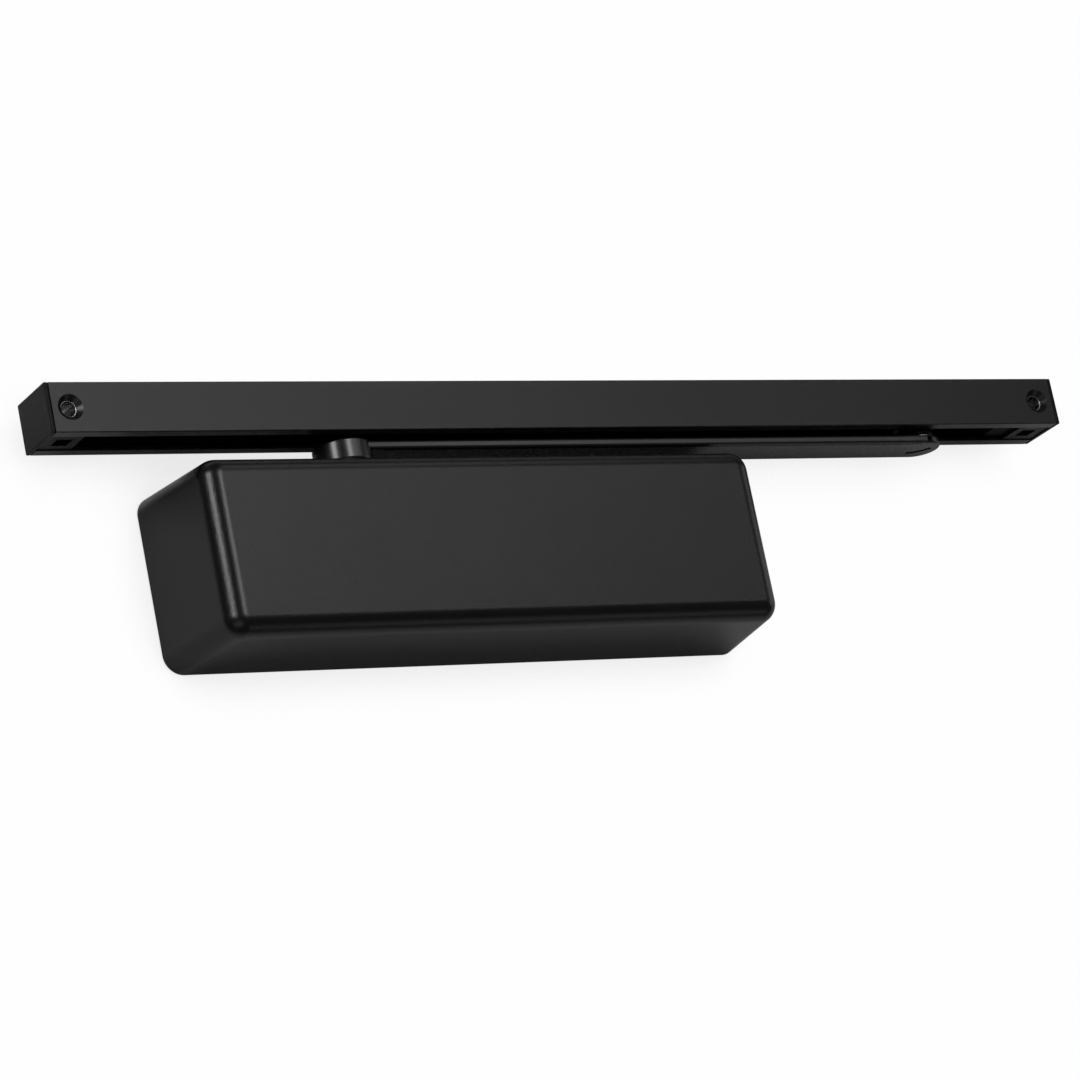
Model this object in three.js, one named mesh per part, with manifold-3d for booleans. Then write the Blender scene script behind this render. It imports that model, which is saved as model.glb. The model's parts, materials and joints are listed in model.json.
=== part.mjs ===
// Surface door closer with a slide track, rack-and-pinion type, built as the separate pieces it is
// assembled from. Millimetres, +Z up. The closer stands with its back (y = 0) against a door leaf;
// +X runs along the door towards the track's far end, -Y points away from the door.
// The origin is the centre of the closer's mounting face.

import * as THREE from 'three';
import { mergeVertices } from 'three/addons/utils/BufferGeometryUtils.js';
import Module from 'manifold-3d';

const wasm = await Module();
wasm.setup();

// ---------- driving dimensions ----------

const GAP = 0.3; // clearance between neighbouring pieces
const OVER = 1; // how far a cutter runs past the face that it opens

// cover
const COVER_LENGTH = 313;
const COVER_DEPTH = 58;
const COVER_HEIGHT = 87;
const COVER_WALL = 2.5;
const COVER_CORNER = 9.6; // corner radius of the outline
const COVER_FILLET = 9; // radius of the front edges
const COVER_END_DRAFT = 8.5; // how far each end leans in over the depth
const COVER_SIDE_DRAFT = 0.5; // the same for the top and the bottom
const SPINDLE_SLOT_RADIUS = 17;
const SPINDLE_SLOT_FOOT = 35; // between these heights the slot is cut through the cover's top
const SPINDLE_SLOT_TOP = 50;

// axis of the spindle and of the cylinder bore
const SPINDLE_X = -60;
const AXIS_Y = -30;

// cast body
const BARREL_RADIUS = 23;
const BARREL_HALF = 136;
const BORE_RADIUS = 19;
const BODY_HALF = 146;
const BACK_PLATE = 10;
const LUG_LENGTH = 28;
const LUG_HALF_HEIGHT = 36;
const BOSS_RADIUS = 19;
const BOSS_TOP = 37.5;
const SPINDLE_BORE = 14.3;
const WEB_HALF_HEIGHT = 17;
const LUG_ROUND = 7;
const BOSS_RIB_NEAR = 15;
const BOSS_RIB_FAR = 33;
const BOSS_RIB_HALF = 3;
const VALVE_RIB_LEFT = 28;
const VALVE_RIB_RIGHT = 126;
const VALVE_RIB_HALF = 7;
const VALVE_RIB_FOOT = 12;
const VALVE_RIB_TOP = 33;
const VALVE_RIB_ROUND = 1.5;
const VALVE_RADIUS = 3;
const VALVE_FOOT = 20.8;
const VALVE_HOLE_FOOT = VALVE_FOOT - 0.4;
const VALVE_PLACES = { backcheck: 40, sweep: 96, latch: 114 };
const DOOR_SCREW_X = 134;
const DOOR_SCREW_Z = 27;
const DOOR_SCREW_HOLE = 3.6;
const CLIP_SCREW_X = 143;
const CLIP_HOLE_FLOOR = 3;

// spring clips for the cover, and their screws
const CLIP_FOOT_X = 139.8;
const CLIP_BEND_X = 146.5;
const CLIP_SHEET = 1.2;
const CLIP_HALF_HEIGHT = 8;
const CLIP_BEND_RISE = 6; // from the clip's foot to where it meets the cover's end
const CLIP_TIP = 34; // distance of the clip's tip from the door
const CLIP_HOOK_IN = 2.5;
const CLIP_HOOK_RISE = 3;
const CLIP_PLAY = 0.5; // between the clip and the cover's end
const CLIP_MITER = 0.4;
const CLIP_SCREW_RADIUS = 1.5;
const CLIP_SCREW_HEAD = 2.8;
const CLIP_SCREW_HEAD_HEIGHT = 2;
const CLIP_SCREW_HEAD_ROUND = 0.8;
const CLIP_SCREW_RIM = 0.2;
const CLIP_SCREW_SLOT_HALF = 0.4;
const CLIP_SCREW_SLOT_DEPTH = 0.8;

// end plugs and their seals
const PLUG_INNER = 122;
const PLUG_OUTER = 139;
const PLUG_FLANGE = 19.6;
const PLUG_CHAMFER = 0.8;
const PLUG_SOCKET_RADIUS = 7;
const PLUG_SOCKET_DEPTH = 7;
const SPANNER_HOLE_RADIUS = 2;
const SPANNER_HOLE_DEPTH = 4;
const SPANNER_HOLE_OUT = 14; // from the plug's axis
const SEAL_STATION = 128;
const SEAL_RADIUS = 17.45;
const SEAL_THICKNESS = 0.95;
const SEAL_GROOVE_HALF = 1.3;
const SEAL_GROOVE_DEPTH = 2.4;

// the stack round the spindle, as distances above and below its middle
const WASHER_FROM = 14.5;
const WASHER_TO = 16;
const BEARING_TO = 29;
const SEAL_TO = 33;
const CAP_TO = 38.8;
const STACK_RADIUS = SPINDLE_BORE - GAP;
const NOTCH_CIRCLE = 11.5;
const NOTCH_RADIUS = 1.4;
const NOTCH_FLOOR = 36;

// rack and pinion
const MODULE = 1.75;
const TEETH = 12;
const PITCH_RADIUS = MODULE * TEETH / 2;
const PRESSURE_ANGLE = THREE.MathUtils.degToRad(25);
const BACKLASH = 0.4;
const GEAR_HALF = 9.5;
const RACK_DROP = 0.15; // extra distance between the pitch lines
const SHAFT_RADIUS = 8.4;
const SQUARE = 11.6; // drive square on the spindle's ends
const GEAR_ADDENDUM = 0.95 * MODULE;
const GEAR_DEDENDUM = 1.25 * MODULE;
const GEAR_ROOT_FLARE = 0.02; // angle by which a tooth widens at its root
const GEAR_CORE_RADIUS = 8.2;
const SHOULDER_RADIUS = 11.5;
const SHOULDER_FROM = 10;
const SHOULDER_TO = 14.2;
const SHAFT_HALF = 39;
const SQUARE_FROM = 38;
const SPINDLE_TOP = 51.9;
const SPINDLE_FOOT = -40.4;
const SPINDLE_SCREW_HOLE = 3.3;
const SPINDLE_SCREW_FLOOR = 34;
const RACK_ADDENDUM = 0.85 * MODULE;
const RACK_SINK = 0.5; // how deep a rack tooth's root is sunk in the piston
const RACK_FIRST = -7; // rack teeth, counted in pitches from the spindle
const RACK_LAST = 1;

// piston
const PISTON_RADIUS = BORE_RADIUS - GAP;
const PISTON_LEFT = -121.2;
const PISTON_RIGHT = -24;
const SLOT_LEFT = -102.3;
const SLOT_RIGHT = -45.3;
const SLOT_HALF = 12.9;
const PISTON_CHAMFER = 1;
const SPRING_POCKET_RADIUS = 9;
const SPRING_POCKET_DEPTH = 8;
const CHECK_PASSAGE_RADIUS = 1.6;
const CHECK_ROOM_DEPTH = 11;
const CHECK_BALL_Y = AXIS_Y + 8;
const CHECK_BALL_RADIUS = 3;
const CHECK_BALL_DEPTH = 7.4;
const RETAINER_HOLE = 1.4;
const RETAINER_FROM = 0.6;
const RETAINER_TO = 3.8;

// closing spring and its adjuster
const SPRING_RADIUS = 14.6;
const SPRING_WIRE = 2.4;
const SPRING_COILS = 10;
const SEAT_LEFT = 97;
const SEAT_RIGHT = 102;
const ADJUSTER_RADIUS = 4;
const ADJUSTER_LEFT = 84;
const ADJUSTER_CHAMFER = 0.8;
const ADJUSTER_HEX_RADIUS = 6.4;
const ADJUSTER_HEX_LENGTH = 4;

// regulating valves
const VALVE_HEAD_RISE = 2.2; // above the rib
const VALVE_TIP_RADIUS = 1.2;
const VALVE_TAPER = 4.7;
const VALVE_CHAMFER = 0.6;
const VALVE_SOCKET_DEPTH = 3.4;

// arm
const ARM_BOTTOM = 51.1;
const ARM_TOP = 55.6;
const ARM_HALF_WIDTH = 11;
const ARM_REACH = 330; // spindle axis to roller axis
const HUB_RADIUS = 14;
const HUB_BOTTOM = 45.3;
const HUB_SHOULDER = 55;
const HUB_TOP = 55.9;
const HUB_FOOT_CHAMFER = 1.5;
const HUB_CONE_IN = 0.3; // the hub narrows by this from its shoulder
const HUB_TOP_CHAMFER = 0.5;
const ARM_EDGE = 1.2;
const ARM_SQUARE_TOP = 52.3;
const ARM_SCREW_HOLE = 3.6;
const ARM_RECESS_RADIUS = 7.6;
const ARM_RECESS_FLOOR = 53.4;
const GROOVE_IN = 1.5; // from the arm's front edge to the fine groove below it
const GROOVE_WIDTH = 0.8;
const GROOVE_DEPTH = 0.5;
const GROOVE_FROM_HUB = 3;
const GROOVE_FROM_ROLLER = 4;
const CURVE_OUTER = 15.4; // radii and angles of the curved groove below the arm's end
const CURVE_INNER = 12.6;
const CURVE_DEPTH = 0.6;
const CURVE_FROM = THREE.MathUtils.degToRad(29);
const CURVE_TO = THREE.MathUtils.degToRad(83);
const CURVE_LEFT = 7.5; // the groove's centre, to the left of the roller's axis and in front of it
const CURVE_FRONT = 10.1;
const ROLLER_X = SPINDLE_X + ARM_REACH;

// the screw and washer that hold the arm
const WASHER_HOLE = 3.4;
const WASHER_RADIUS = 7.2;
const WASHER_BOTTOM = 53.7;
const WASHER_TOP = 54.7;
const ARM_SCREW_RADIUS = 3;
const ARM_SCREW_FOOT = 37;
const ARM_SCREW_POINT = 0.6;
const ARM_SCREW_HEAD_RADIUS = 6;
const ARM_SCREW_HEAD_FROM = 55;
const ARM_SCREW_HEAD_HEIGHT = 2.6;
const ARM_SCREW_HEAD_CHAMFER = 0.7;
const ARM_SCREW_SOCKET_RADIUS = 2.9;
const ARM_SCREW_SOCKET_FLOOR = 0.4; // above the head's underside

// roller
const STUD_RADIUS = 4;
const STUD_FOOT = 52.4;
const STUD_TOP = 73.2;
const STUD_CHAMFER = 0.5;
const STUD_GROOVE_FROM = 71.2;
const STUD_GROOVE_TO = 72.4;
const STUD_GROOVE_DEPTH = 0.8;
const PIN_Z = 53.35;
const PIN_HOLE = 1.6;
const PIN_BORE = 0.7;
const PIN_SLIT_HALF = 0.2;
const PIN_SUNK = 3; // below the arm's front edge
const PIN_END = AXIS_Y - 1.8;
const PIN_HOLE_END = AXIS_Y - 1.4;
const CIRCLIP_FROM = 71.4;
const CIRCLIP_TO = 72.2;
const CIRCLIP_INNER = 3.5;
const CIRCLIP_OUTER = 6.4;
const CIRCLIP_GAP_HALF = 1.6;
const BUSH_RADIUS = STUD_RADIUS + 1.6;
const BUSH_RISE = 0.6; // above the roller
const NECK_RADIUS = 8.4;
const ROLLER_RADIUS = 11.6;
const ROLLER_BOTTOM = 57;
const ROLLER_STEP = 61.9;
const ROLLER_TOP = 70.4;
const ROLLER_CHAMFER = 0.8;
const ROLLER_FOOT_CHAMFER = 0.6;
const NECK_CHAMFER = 0.5;

// track
const TRACK_LEFT = -215;
const TRACK_RIGHT = 350;
const TRACK_BOTTOM = 59.2;
const TRACK_HEIGHT = 24.5;
const TRACK_DEPTH = 30;
const TRACK_WALL = 2.4;
const TRACK_LIP = 6.2;
const LIP_THICKNESS = 2.2;
const CAP_THICKNESS = 2;
const HOLE_INSET = 11.5; // end of the track to its screw hole
const HOLE_RADIUS = 4;
const COUNTERSINK_RADIUS = 6.3;
const SLEEVE_RADIUS = 6;
const SLEEVE_BORE = 3.5;
const CAP_ROUND = 0.6;
const PEG_RADIUS = 1.2;
const PEG_LENGTH = 6;
const PEG_OUT_Y = 8.5; // of each peg from the track's middle
const PEG_OUT_Z = 7.9;
const BLOCK_LENGTH = 17.6;
const BLOCK_FOOT_RISE = 0.6; // of the block's tongue above the track's underside
const BLOCK_POCKET_HALF = 4;
const BLOCK_POCKET_DEPTH = 3;
const BUMPER_LENGTH = 11.7;
const BUMPER_PLAY = 0.6;
const BUMPER_NOSE = 3;
const BUMPER_NOSE_SIDE = 4;
const BUMPER_FLOOR_GAP = 0.4;
const BUMPER_ROOF_GAP = 1.5;

const TRACK_TOP = TRACK_BOTTOM + TRACK_HEIGHT;
const TRACK_MID_Z = (TRACK_BOTTOM + TRACK_TOP) / 2;
const TRACK_FRONT = AXIS_Y - TRACK_DEPTH / 2;
const TRACK_BACK = AXIS_Y + TRACK_DEPTH / 2;
const CHANNEL_LEFT = TRACK_LEFT + CAP_THICKNESS + GAP;
const CHANNEL_RIGHT = TRACK_RIGHT - CAP_THICKNESS - GAP;

// ---------- materials ----------

const finish = (color, roughness, metalness) => () => (
  new THREE.MeshStandardMaterial({ color, roughness, metalness })
);
const powderCoat = finish(0x161617, 0.5, 0.0);
const anodised = finish(0x141415, 0.38, 0.6);
const blackSteel = finish(0x1b1b1c, 0.35, 0.6);
const castIron = finish(0x2b2b2c, 0.7, 0.5);
const brightSteel = finish(0xb4b6b8, 0.28, 1.0);
const springSteel = finish(0x55585c, 0.35, 1.0);
const brass = finish(0xb08d4a, 0.3, 1.0);
const blackPlastic = finish(0x111112, 0.5, 0.0);
const blackRubber = finish(0x0e0e0e, 0.8, 0.0);

// ---------- solids ----------

function solid(geometry) {
  const bare = geometry.index ? geometry.toNonIndexed() : geometry.clone();
  for (const name of Object.keys(bare.attributes)) {
    if (name !== 'position') bare.deleteAttribute(name);
  }
  const welded = mergeVertices(bare, 1e-4);
  const vertProperties = Float32Array.from(welded.attributes.position.array);
  const triVerts = Uint32Array.from(welded.index.array);
  return new wasm.Manifold(new wasm.Mesh({ numProp: 3, vertProperties, triVerts }));
}

function geometryOf(manifold) {
  const mesh = manifold.getMesh();
  const geometry = new THREE.BufferGeometry();
  geometry.setAttribute('position', new THREE.BufferAttribute(Float32Array.from(mesh.vertProperties), 3));
  geometry.setIndex(new THREE.BufferAttribute(Uint32Array.from(mesh.triVerts), 1));
  return geometry;
}

const join = (first, ...rest) => rest.reduce((whole, next) => whole.add(next), first);
const cut = (first, ...rest) => rest.reduce((whole, next) => whole.subtract(next), first);

function block(x0, x1, y0, y1, z0, z1) {
  const geometry = new THREE.BoxGeometry(x1 - x0, y1 - y0, z1 - z0);
  geometry.translate((x0 + x1) / 2, (y0 + y1) / 2, (z0 + z1) / 2);
  return solid(geometry);
}

// Frames that send a drawn outline (a, b) and its extrusion to the object's axes.
const AXES = {
  x: new THREE.Matrix4().makeBasis(
    new THREE.Vector3(0, 1, 0), new THREE.Vector3(0, 0, 1), new THREE.Vector3(1, 0, 0)),
  y: new THREE.Matrix4().makeBasis(
    new THREE.Vector3(0, 0, 1), new THREE.Vector3(1, 0, 0), new THREE.Vector3(0, 1, 0)),
  z: new THREE.Matrix4(),
};

// A prism of a shape between two stations of an axis. The shape is drawn as
// (y, z) for x, (z, x) for y and (x, y) for z.
function prism(shape, axis, from, to, curveSegments = 8) {
  const geometry = new THREE.ExtrudeGeometry(shape, {
    depth: to - from, bevelEnabled: false, curveSegments,
  });
  geometry.translate(0, 0, from);
  geometry.applyMatrix4(AXES[axis]);
  return solid(geometry);
}

// A solid of revolution: [radius, station] pairs from the axis back to the axis,
// or a closed loop of them for a ring.
function turned(profile, axis, centre, segments = 24) {
  const points = profile.map(([radius, station]) => new THREE.Vector2(radius, station));
  const geometry = new THREE.LatheGeometry(points, segments);
  geometry.rotateX(Math.PI / 2);
  geometry.applyMatrix4(AXES[axis]);
  geometry.translate(...centre);
  return fixWinding(solid(geometry), geometry);
}

// Lathe profiles may be drawn either way round; a solid with a negative volume is turned inside out.
function fixWinding(manifold, geometry) {
  if (manifold.volume() > 0) return manifold;
  const flipped = geometry.toNonIndexed();
  const position = flipped.attributes.position;
  for (let i = 0; i < position.count; i += 3) {
    const a = new THREE.Vector3().fromBufferAttribute(position, i);
    const b = new THREE.Vector3().fromBufferAttribute(position, i + 1);
    position.setXYZ(i, b.x, b.y, b.z);
    position.setXYZ(i + 1, a.x, a.y, a.z);
  }
  return solid(flipped);
}

function rod(axis, radius, from, to, centre, segments = 24) {
  return turned([[0, from], [radius, from], [radius, to], [0, to]], axis, centre, segments);
}

function ring(axis, inner, outer, from, to, centre, segments = 24) {
  return turned([[inner, from], [outer, from], [outer, to], [inner, to], [inner, from]],
    axis, centre, segments);
}

// A cone-ended rod, for countersinks and chamfered ends.
function cone(axis, radiusFrom, radiusTo, from, to, centre, segments = 24) {
  return turned([[0, from], [radiusFrom, from], [radiusTo, to], [0, to]], axis, centre, segments);
}

function regularPolygon(sides, radius, centreA = 0, centreB = 0, turn = 0) {
  const shape = new THREE.Shape();
  for (let i = 0; i < sides; i += 1) {
    const angle = turn + i * 2 * Math.PI / sides;
    const a = centreA + radius * Math.cos(angle);
    const b = centreB + radius * Math.sin(angle);
    if (i === 0) shape.moveTo(a, b);
    else shape.lineTo(a, b);
  }
  shape.closePath();
  return shape;
}

function rectangle(a0, a1, b0, b1, radius = 0) {
  const shape = new THREE.Shape();
  if (radius === 0) {
    shape.moveTo(a0, b0);
    shape.lineTo(a1, b0);
    shape.lineTo(a1, b1);
    shape.lineTo(a0, b1);
    shape.closePath();
    return shape;
  }
  shape.moveTo(a0 + radius, b0);
  shape.lineTo(a1 - radius, b0);
  shape.absarc(a1 - radius, b0 + radius, radius, -Math.PI / 2, 0);
  shape.lineTo(a1, b1 - radius);
  shape.absarc(a1 - radius, b1 - radius, radius, 0, Math.PI / 2);
  shape.lineTo(a0 + radius, b1);
  shape.absarc(a0 + radius, b1 - radius, radius, Math.PI / 2, Math.PI);
  shape.lineTo(a0, b0 + radius);
  shape.absarc(a0 + radius, b0 + radius, radius, Math.PI, 1.5 * Math.PI);
  return shape;
}

function polygon(points) {
  const shape = new THREE.Shape();
  points.forEach(([a, b], i) => (i === 0 ? shape.moveTo(a, b) : shape.lineTo(a, b)));
  shape.closePath();
  return shape;
}

const atSpindle = [SPINDLE_X, AXIS_Y, 0];
const atRoller = [ROLLER_X, AXIS_Y, 0];
const onBore = [0, AXIS_Y, 0];

// ---------- the assembly ----------

const group = new THREE.Group();

function place(name, manifold, material) {
  const mesh = new THREE.Mesh(geometryOf(manifold), material());
  mesh.name = name;
  group.add(mesh);
}

// ---------- cover ----------

// The cover's outside or inside as a block: rounded outline, rounded front edges, and ends that
// lean inwards towards the front.
function coverBlock(inset, curveSegments) {
  const halfLength = COVER_LENGTH / 2 - inset;
  const halfHeight = COVER_HEIGHT / 2 - inset;
  const front = COVER_DEPTH - inset;
  const fillet = COVER_FILLET - inset;
  const outline = rectangle(-halfLength, halfLength, -halfHeight, halfHeight, COVER_CORNER - inset);
  const geometry = new THREE.ExtrudeGeometry(outline, {
    depth: front - fillet,
    bevelEnabled: true,
    bevelThickness: fillet,
    bevelSize: fillet,
    bevelOffset: -fillet,
    bevelSegments: 5,
    curveSegments,
  });
  geometry.rotateX(Math.PI / 2);
  const position = geometry.attributes.position;
  for (let i = 0; i < position.count; i += 1) {
    const lean = Math.max(0, -position.getY(i)) / COVER_DEPTH;
    position.setX(i, position.getX(i) * (1 - lean * COVER_END_DRAFT / (COVER_LENGTH / 2)));
    position.setZ(i, position.getZ(i) * (1 - lean * COVER_SIDE_DRAFT / (COVER_HEIGHT / 2)));
  }
  // the outside ends at the door, and the inside runs past it so that the back is open
  const back = inset === 0 ? 0 : OVER;
  const big = COVER_LENGTH;
  return solid(geometry).intersect(block(-big, big, -big, back, -big, big));
}

function makeCover() {
  const slot = join(
    rod('z', SPINDLE_SLOT_RADIUS, SPINDLE_SLOT_FOOT, SPINDLE_SLOT_TOP, atSpindle),
    block(SPINDLE_X - SPINDLE_SLOT_RADIUS, SPINDLE_X + SPINDLE_SLOT_RADIUS, AXIS_Y, OVER,
      SPINDLE_SLOT_FOOT, SPINDLE_SLOT_TOP),
  );
  return cut(coverBlock(0, 5), coverBlock(COVER_WALL, 4), slot);
}

place('cover', makeCover(), powderCoat);

// Spring clips on the body's lugs that grip the cover's ends from inside.
function makeClip(side) {
  const lean = COVER_END_DRAFT / COVER_DEPTH;
  const wallAt = (y) => COVER_LENGTH / 2 + y * lean - COVER_WALL - CLIP_PLAY;
  const foot = -BACK_PLATE - GAP;
  const tip = -CLIP_TIP;
  const bend = foot - CLIP_BEND_RISE;
  const hook = tip - CLIP_HOOK_RISE;
  const outline = [
    [side * CLIP_FOOT_X, foot],
    [side * CLIP_BEND_X, foot],
    [side * wallAt(bend), bend],
    [side * wallAt(tip), tip],
    [side * (wallAt(tip) - CLIP_HOOK_IN), hook],
    [side * (wallAt(tip) - CLIP_HOOK_IN - CLIP_SHEET), hook + CLIP_SHEET / 2],
    [side * (wallAt(tip) - CLIP_SHEET), tip + CLIP_MITER],
    [side * (wallAt(bend) - CLIP_SHEET), bend - CLIP_MITER],
    [side * (CLIP_BEND_X - CLIP_SHEET / 2), foot - CLIP_SHEET],
    [side * CLIP_FOOT_X, foot - CLIP_SHEET],
  ];
  const strip = prism(polygon(side > 0 ? outline.reverse() : outline), 'z',
    -CLIP_HALF_HEIGHT, CLIP_HALF_HEIGHT);
  const hole = rod('y', CLIP_SCREW_RADIUS + GAP, foot - CLIP_SHEET - OVER, foot + OVER,
    [side * CLIP_SCREW_X, 0, 0], 14);
  return cut(strip, hole);
}

// A small round-headed screw along Y with a cross slot. Its head faces the front.
function makeClipScrew(side) {
  const x = side * CLIP_SCREW_X;
  const under = -BACK_PLATE - 2 * GAP - CLIP_SHEET;
  const top = under - CLIP_SCREW_HEAD_HEIGHT;
  const tip = -CLIP_HOLE_FLOOR - GAP;
  const screw = turned([
    [0, tip], [CLIP_SCREW_RADIUS, tip - GAP], [CLIP_SCREW_RADIUS, under], [CLIP_SCREW_HEAD, under],
    [CLIP_SCREW_HEAD, (under + top) / 2], [CLIP_SCREW_HEAD - CLIP_SCREW_HEAD_ROUND, top + CLIP_SCREW_RIM],
    [0, top],
  ], 'y', [x, 0, 0], 14);
  const reach = CLIP_SCREW_HEAD + OVER;
  const slot = block(x - reach, x + reach, top - OVER, top + CLIP_SCREW_SLOT_DEPTH,
    -CLIP_SCREW_SLOT_HALF, CLIP_SCREW_SLOT_HALF);
  return cut(screw, slot);
}

for (const [word, side] of [['left', -1], ['right', 1]]) {
  place(`cover_clip_${word}`, makeClip(side), springSteel);
  place(`clip_screw_${word}`, makeClipScrew(side), brightSteel);
}

// ---------- cast body ----------

function makeBody() {
  const barrel = rod('x', BARREL_RADIUS, -BARREL_HALF, BARREL_HALF, onBore, 36);
  const web = block(-BODY_HALF, BODY_HALF, -BACK_PLATE, 0, -WEB_HALF_HEIGHT, WEB_HALF_HEIGHT);
  const boss = rod('z', BOSS_RADIUS, -BOSS_TOP, BOSS_TOP, atSpindle, 28);
  const ribSection = rectangle(AXIS_Y - VALVE_RIB_HALF, AXIS_Y + VALVE_RIB_HALF, VALVE_RIB_FOOT,
    VALVE_RIB_TOP, VALVE_RIB_ROUND);
  const parts = [web, boss, prism(ribSection, 'x', VALVE_RIB_LEFT, VALVE_RIB_RIGHT, 2)];
  for (const side of [-1, 1]) {
    const from = side > 0 ? BODY_HALF - LUG_LENGTH : -BODY_HALF;
    const lug = rectangle(-LUG_HALF_HEIGHT, LUG_HALF_HEIGHT, from, from + LUG_LENGTH, LUG_ROUND);
    parts.push(prism(lug, 'y', -BACK_PLATE, 0, 4));
    // a rib ties the spindle boss to the back plate above and below the cylinder
    const low = Math.min(side * BOSS_RIB_NEAR, side * BOSS_RIB_FAR);
    const high = Math.max(side * BOSS_RIB_NEAR, side * BOSS_RIB_FAR);
    parts.push(block(SPINDLE_X - BOSS_RIB_HALF, SPINDLE_X + BOSS_RIB_HALF, AXIS_Y, 0, low, high));
  }
  const cuts = [
    rod('x', BORE_RADIUS, -BARREL_HALF - OVER, BARREL_HALF + OVER, onBore, 32),
    rod('z', SPINDLE_BORE, -BOSS_TOP - OVER, BOSS_TOP + OVER, atSpindle, 28),
  ];
  for (const x of Object.values(VALVE_PLACES)) {
    cuts.push(rod('z', VALVE_RADIUS + GAP, VALVE_HOLE_FOOT, VALVE_RIB_TOP + OVER, [x, AXIS_Y, 0], 16));
  }
  for (const side of [-1, 1]) {
    cuts.push(rod('y', CLIP_SCREW_RADIUS + GAP, -BACK_PLATE - OVER, -CLIP_HOLE_FLOOR,
      [side * CLIP_SCREW_X, 0, 0], 14));
    for (const z of [-DOOR_SCREW_Z, DOOR_SCREW_Z]) {
      cuts.push(rod('y', DOOR_SCREW_HOLE, -BACK_PLATE - OVER, OVER, [side * DOOR_SCREW_X, 0, z], 18));
    }
  }
  return cut(join(barrel, ...parts), ...cuts);
}

place('body_casting', makeBody(), castIron);

// Threaded plugs close both ends of the bore; the right one carries the spring adjuster.
function plugProfile(side, boreRadius) {
  const radius = PISTON_RADIUS;
  const grooveRadius = radius - SEAL_GROOVE_DEPTH;
  const grooveFrom = SEAL_STATION - SEAL_GROOVE_HALF;
  const grooveTo = SEAL_STATION + SEAL_GROOVE_HALF;
  const stations = [
    [boreRadius, PLUG_INNER], [radius - PLUG_CHAMFER, PLUG_INNER], [radius, PLUG_INNER + PLUG_CHAMFER],
    [radius, grooveFrom], [grooveRadius, grooveFrom], [grooveRadius, grooveTo], [radius, grooveTo],
    [radius, BARREL_HALF + GAP], [PLUG_FLANGE, BARREL_HALF + GAP],
    [PLUG_FLANGE, PLUG_OUTER - PLUG_CHAMFER], [PLUG_FLANGE - PLUG_CHAMFER, PLUG_OUTER],
    [boreRadius, PLUG_OUTER],
  ];
  if (boreRadius > 0) stations.push([boreRadius, PLUG_INNER]);
  return stations.map(([r, x]) => [r, side * x]);
}

function makeLeftPlug() {
  const plug = turned(plugProfile(-1, 0), 'x', onBore, 26);
  const socket = prism(regularPolygon(6, PLUG_SOCKET_RADIUS, AXIS_Y, 0), 'x',
    -PLUG_OUTER - OVER, -PLUG_OUTER + PLUG_SOCKET_DEPTH);
  return cut(plug, socket);
}

function makeRightPlug() {
  const plug = turned(plugProfile(1, ADJUSTER_RADIUS + GAP), 'x', onBore, 26);
  const holes = [-1, 1].map((side) => (
    rod('x', SPANNER_HOLE_RADIUS, PLUG_OUTER - SPANNER_HOLE_DEPTH, PLUG_OUTER + OVER,
      [0, AXIS_Y, side * SPANNER_HOLE_OUT], 12)
  ));
  return cut(plug, ...holes);
}

function makePlugSeal(side) {
  const seal = new THREE.TorusGeometry(SEAL_RADIUS, SEAL_THICKNESS, 5, 24);
  seal.rotateY(Math.PI / 2);
  seal.translate(side * SEAL_STATION, AXIS_Y, 0);
  return solid(seal);
}

place('end_plug_left', makeLeftPlug(), brightSteel);
place('end_plug_right', makeRightPlug(), brightSteel);
place('plug_seal_left', makePlugSeal(-1), blackRubber);
place('plug_seal_right', makePlugSeal(1), blackRubber);

// ---------- spindle bearings, seals and caps ----------

for (const [word, side] of [['upper', 1], ['lower', -1]]) {
  const span = (from, to) => [Math.min(side * from, side * to), Math.max(side * from, side * to)];
  const stack = (from, to) => ring('z', SHAFT_RADIUS + GAP, STACK_RADIUS, ...span(from, to), atSpindle, 22);
  place(`thrust_washer_${word}`, stack(WASHER_FROM, WASHER_TO), brass);
  place(`bearing_${word}`, stack(WASHER_TO + GAP, BEARING_TO), brightSteel);
  place(`shaft_seal_${word}`, stack(BEARING_TO + GAP, SEAL_TO), blackRubber);
  const notches = [0, 1, 2, 3].map((i) => {
    const angle = Math.PI / 4 + i * Math.PI / 2;
    const x = SPINDLE_X + NOTCH_CIRCLE * Math.cos(angle);
    const y = AXIS_Y + NOTCH_CIRCLE * Math.sin(angle);
    return rod('z', NOTCH_RADIUS, ...span(NOTCH_FLOOR, CAP_TO + OVER), [x, y, 0], 8);
  });
  place(`bearing_cap_${word}`, cut(stack(SEAL_TO + GAP, CAP_TO), ...notches), blackSteel);
}

// ---------- pinion and piston ----------

// Half the angle that a tooth spans at a radius on its involute flank.
function toothHalfAngle(radius) {
  const base = PITCH_RADIUS * Math.cos(PRESSURE_ANGLE);
  const involute = (angle) => Math.tan(angle) - angle;
  const atPitch = (Math.PI * MODULE / 2 - BACKLASH) / 2 / PITCH_RADIUS;
  const angle = Math.acos(Math.min(1, base / radius));
  return atPitch + involute(PRESSURE_ANGLE) - involute(angle);
}

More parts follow.
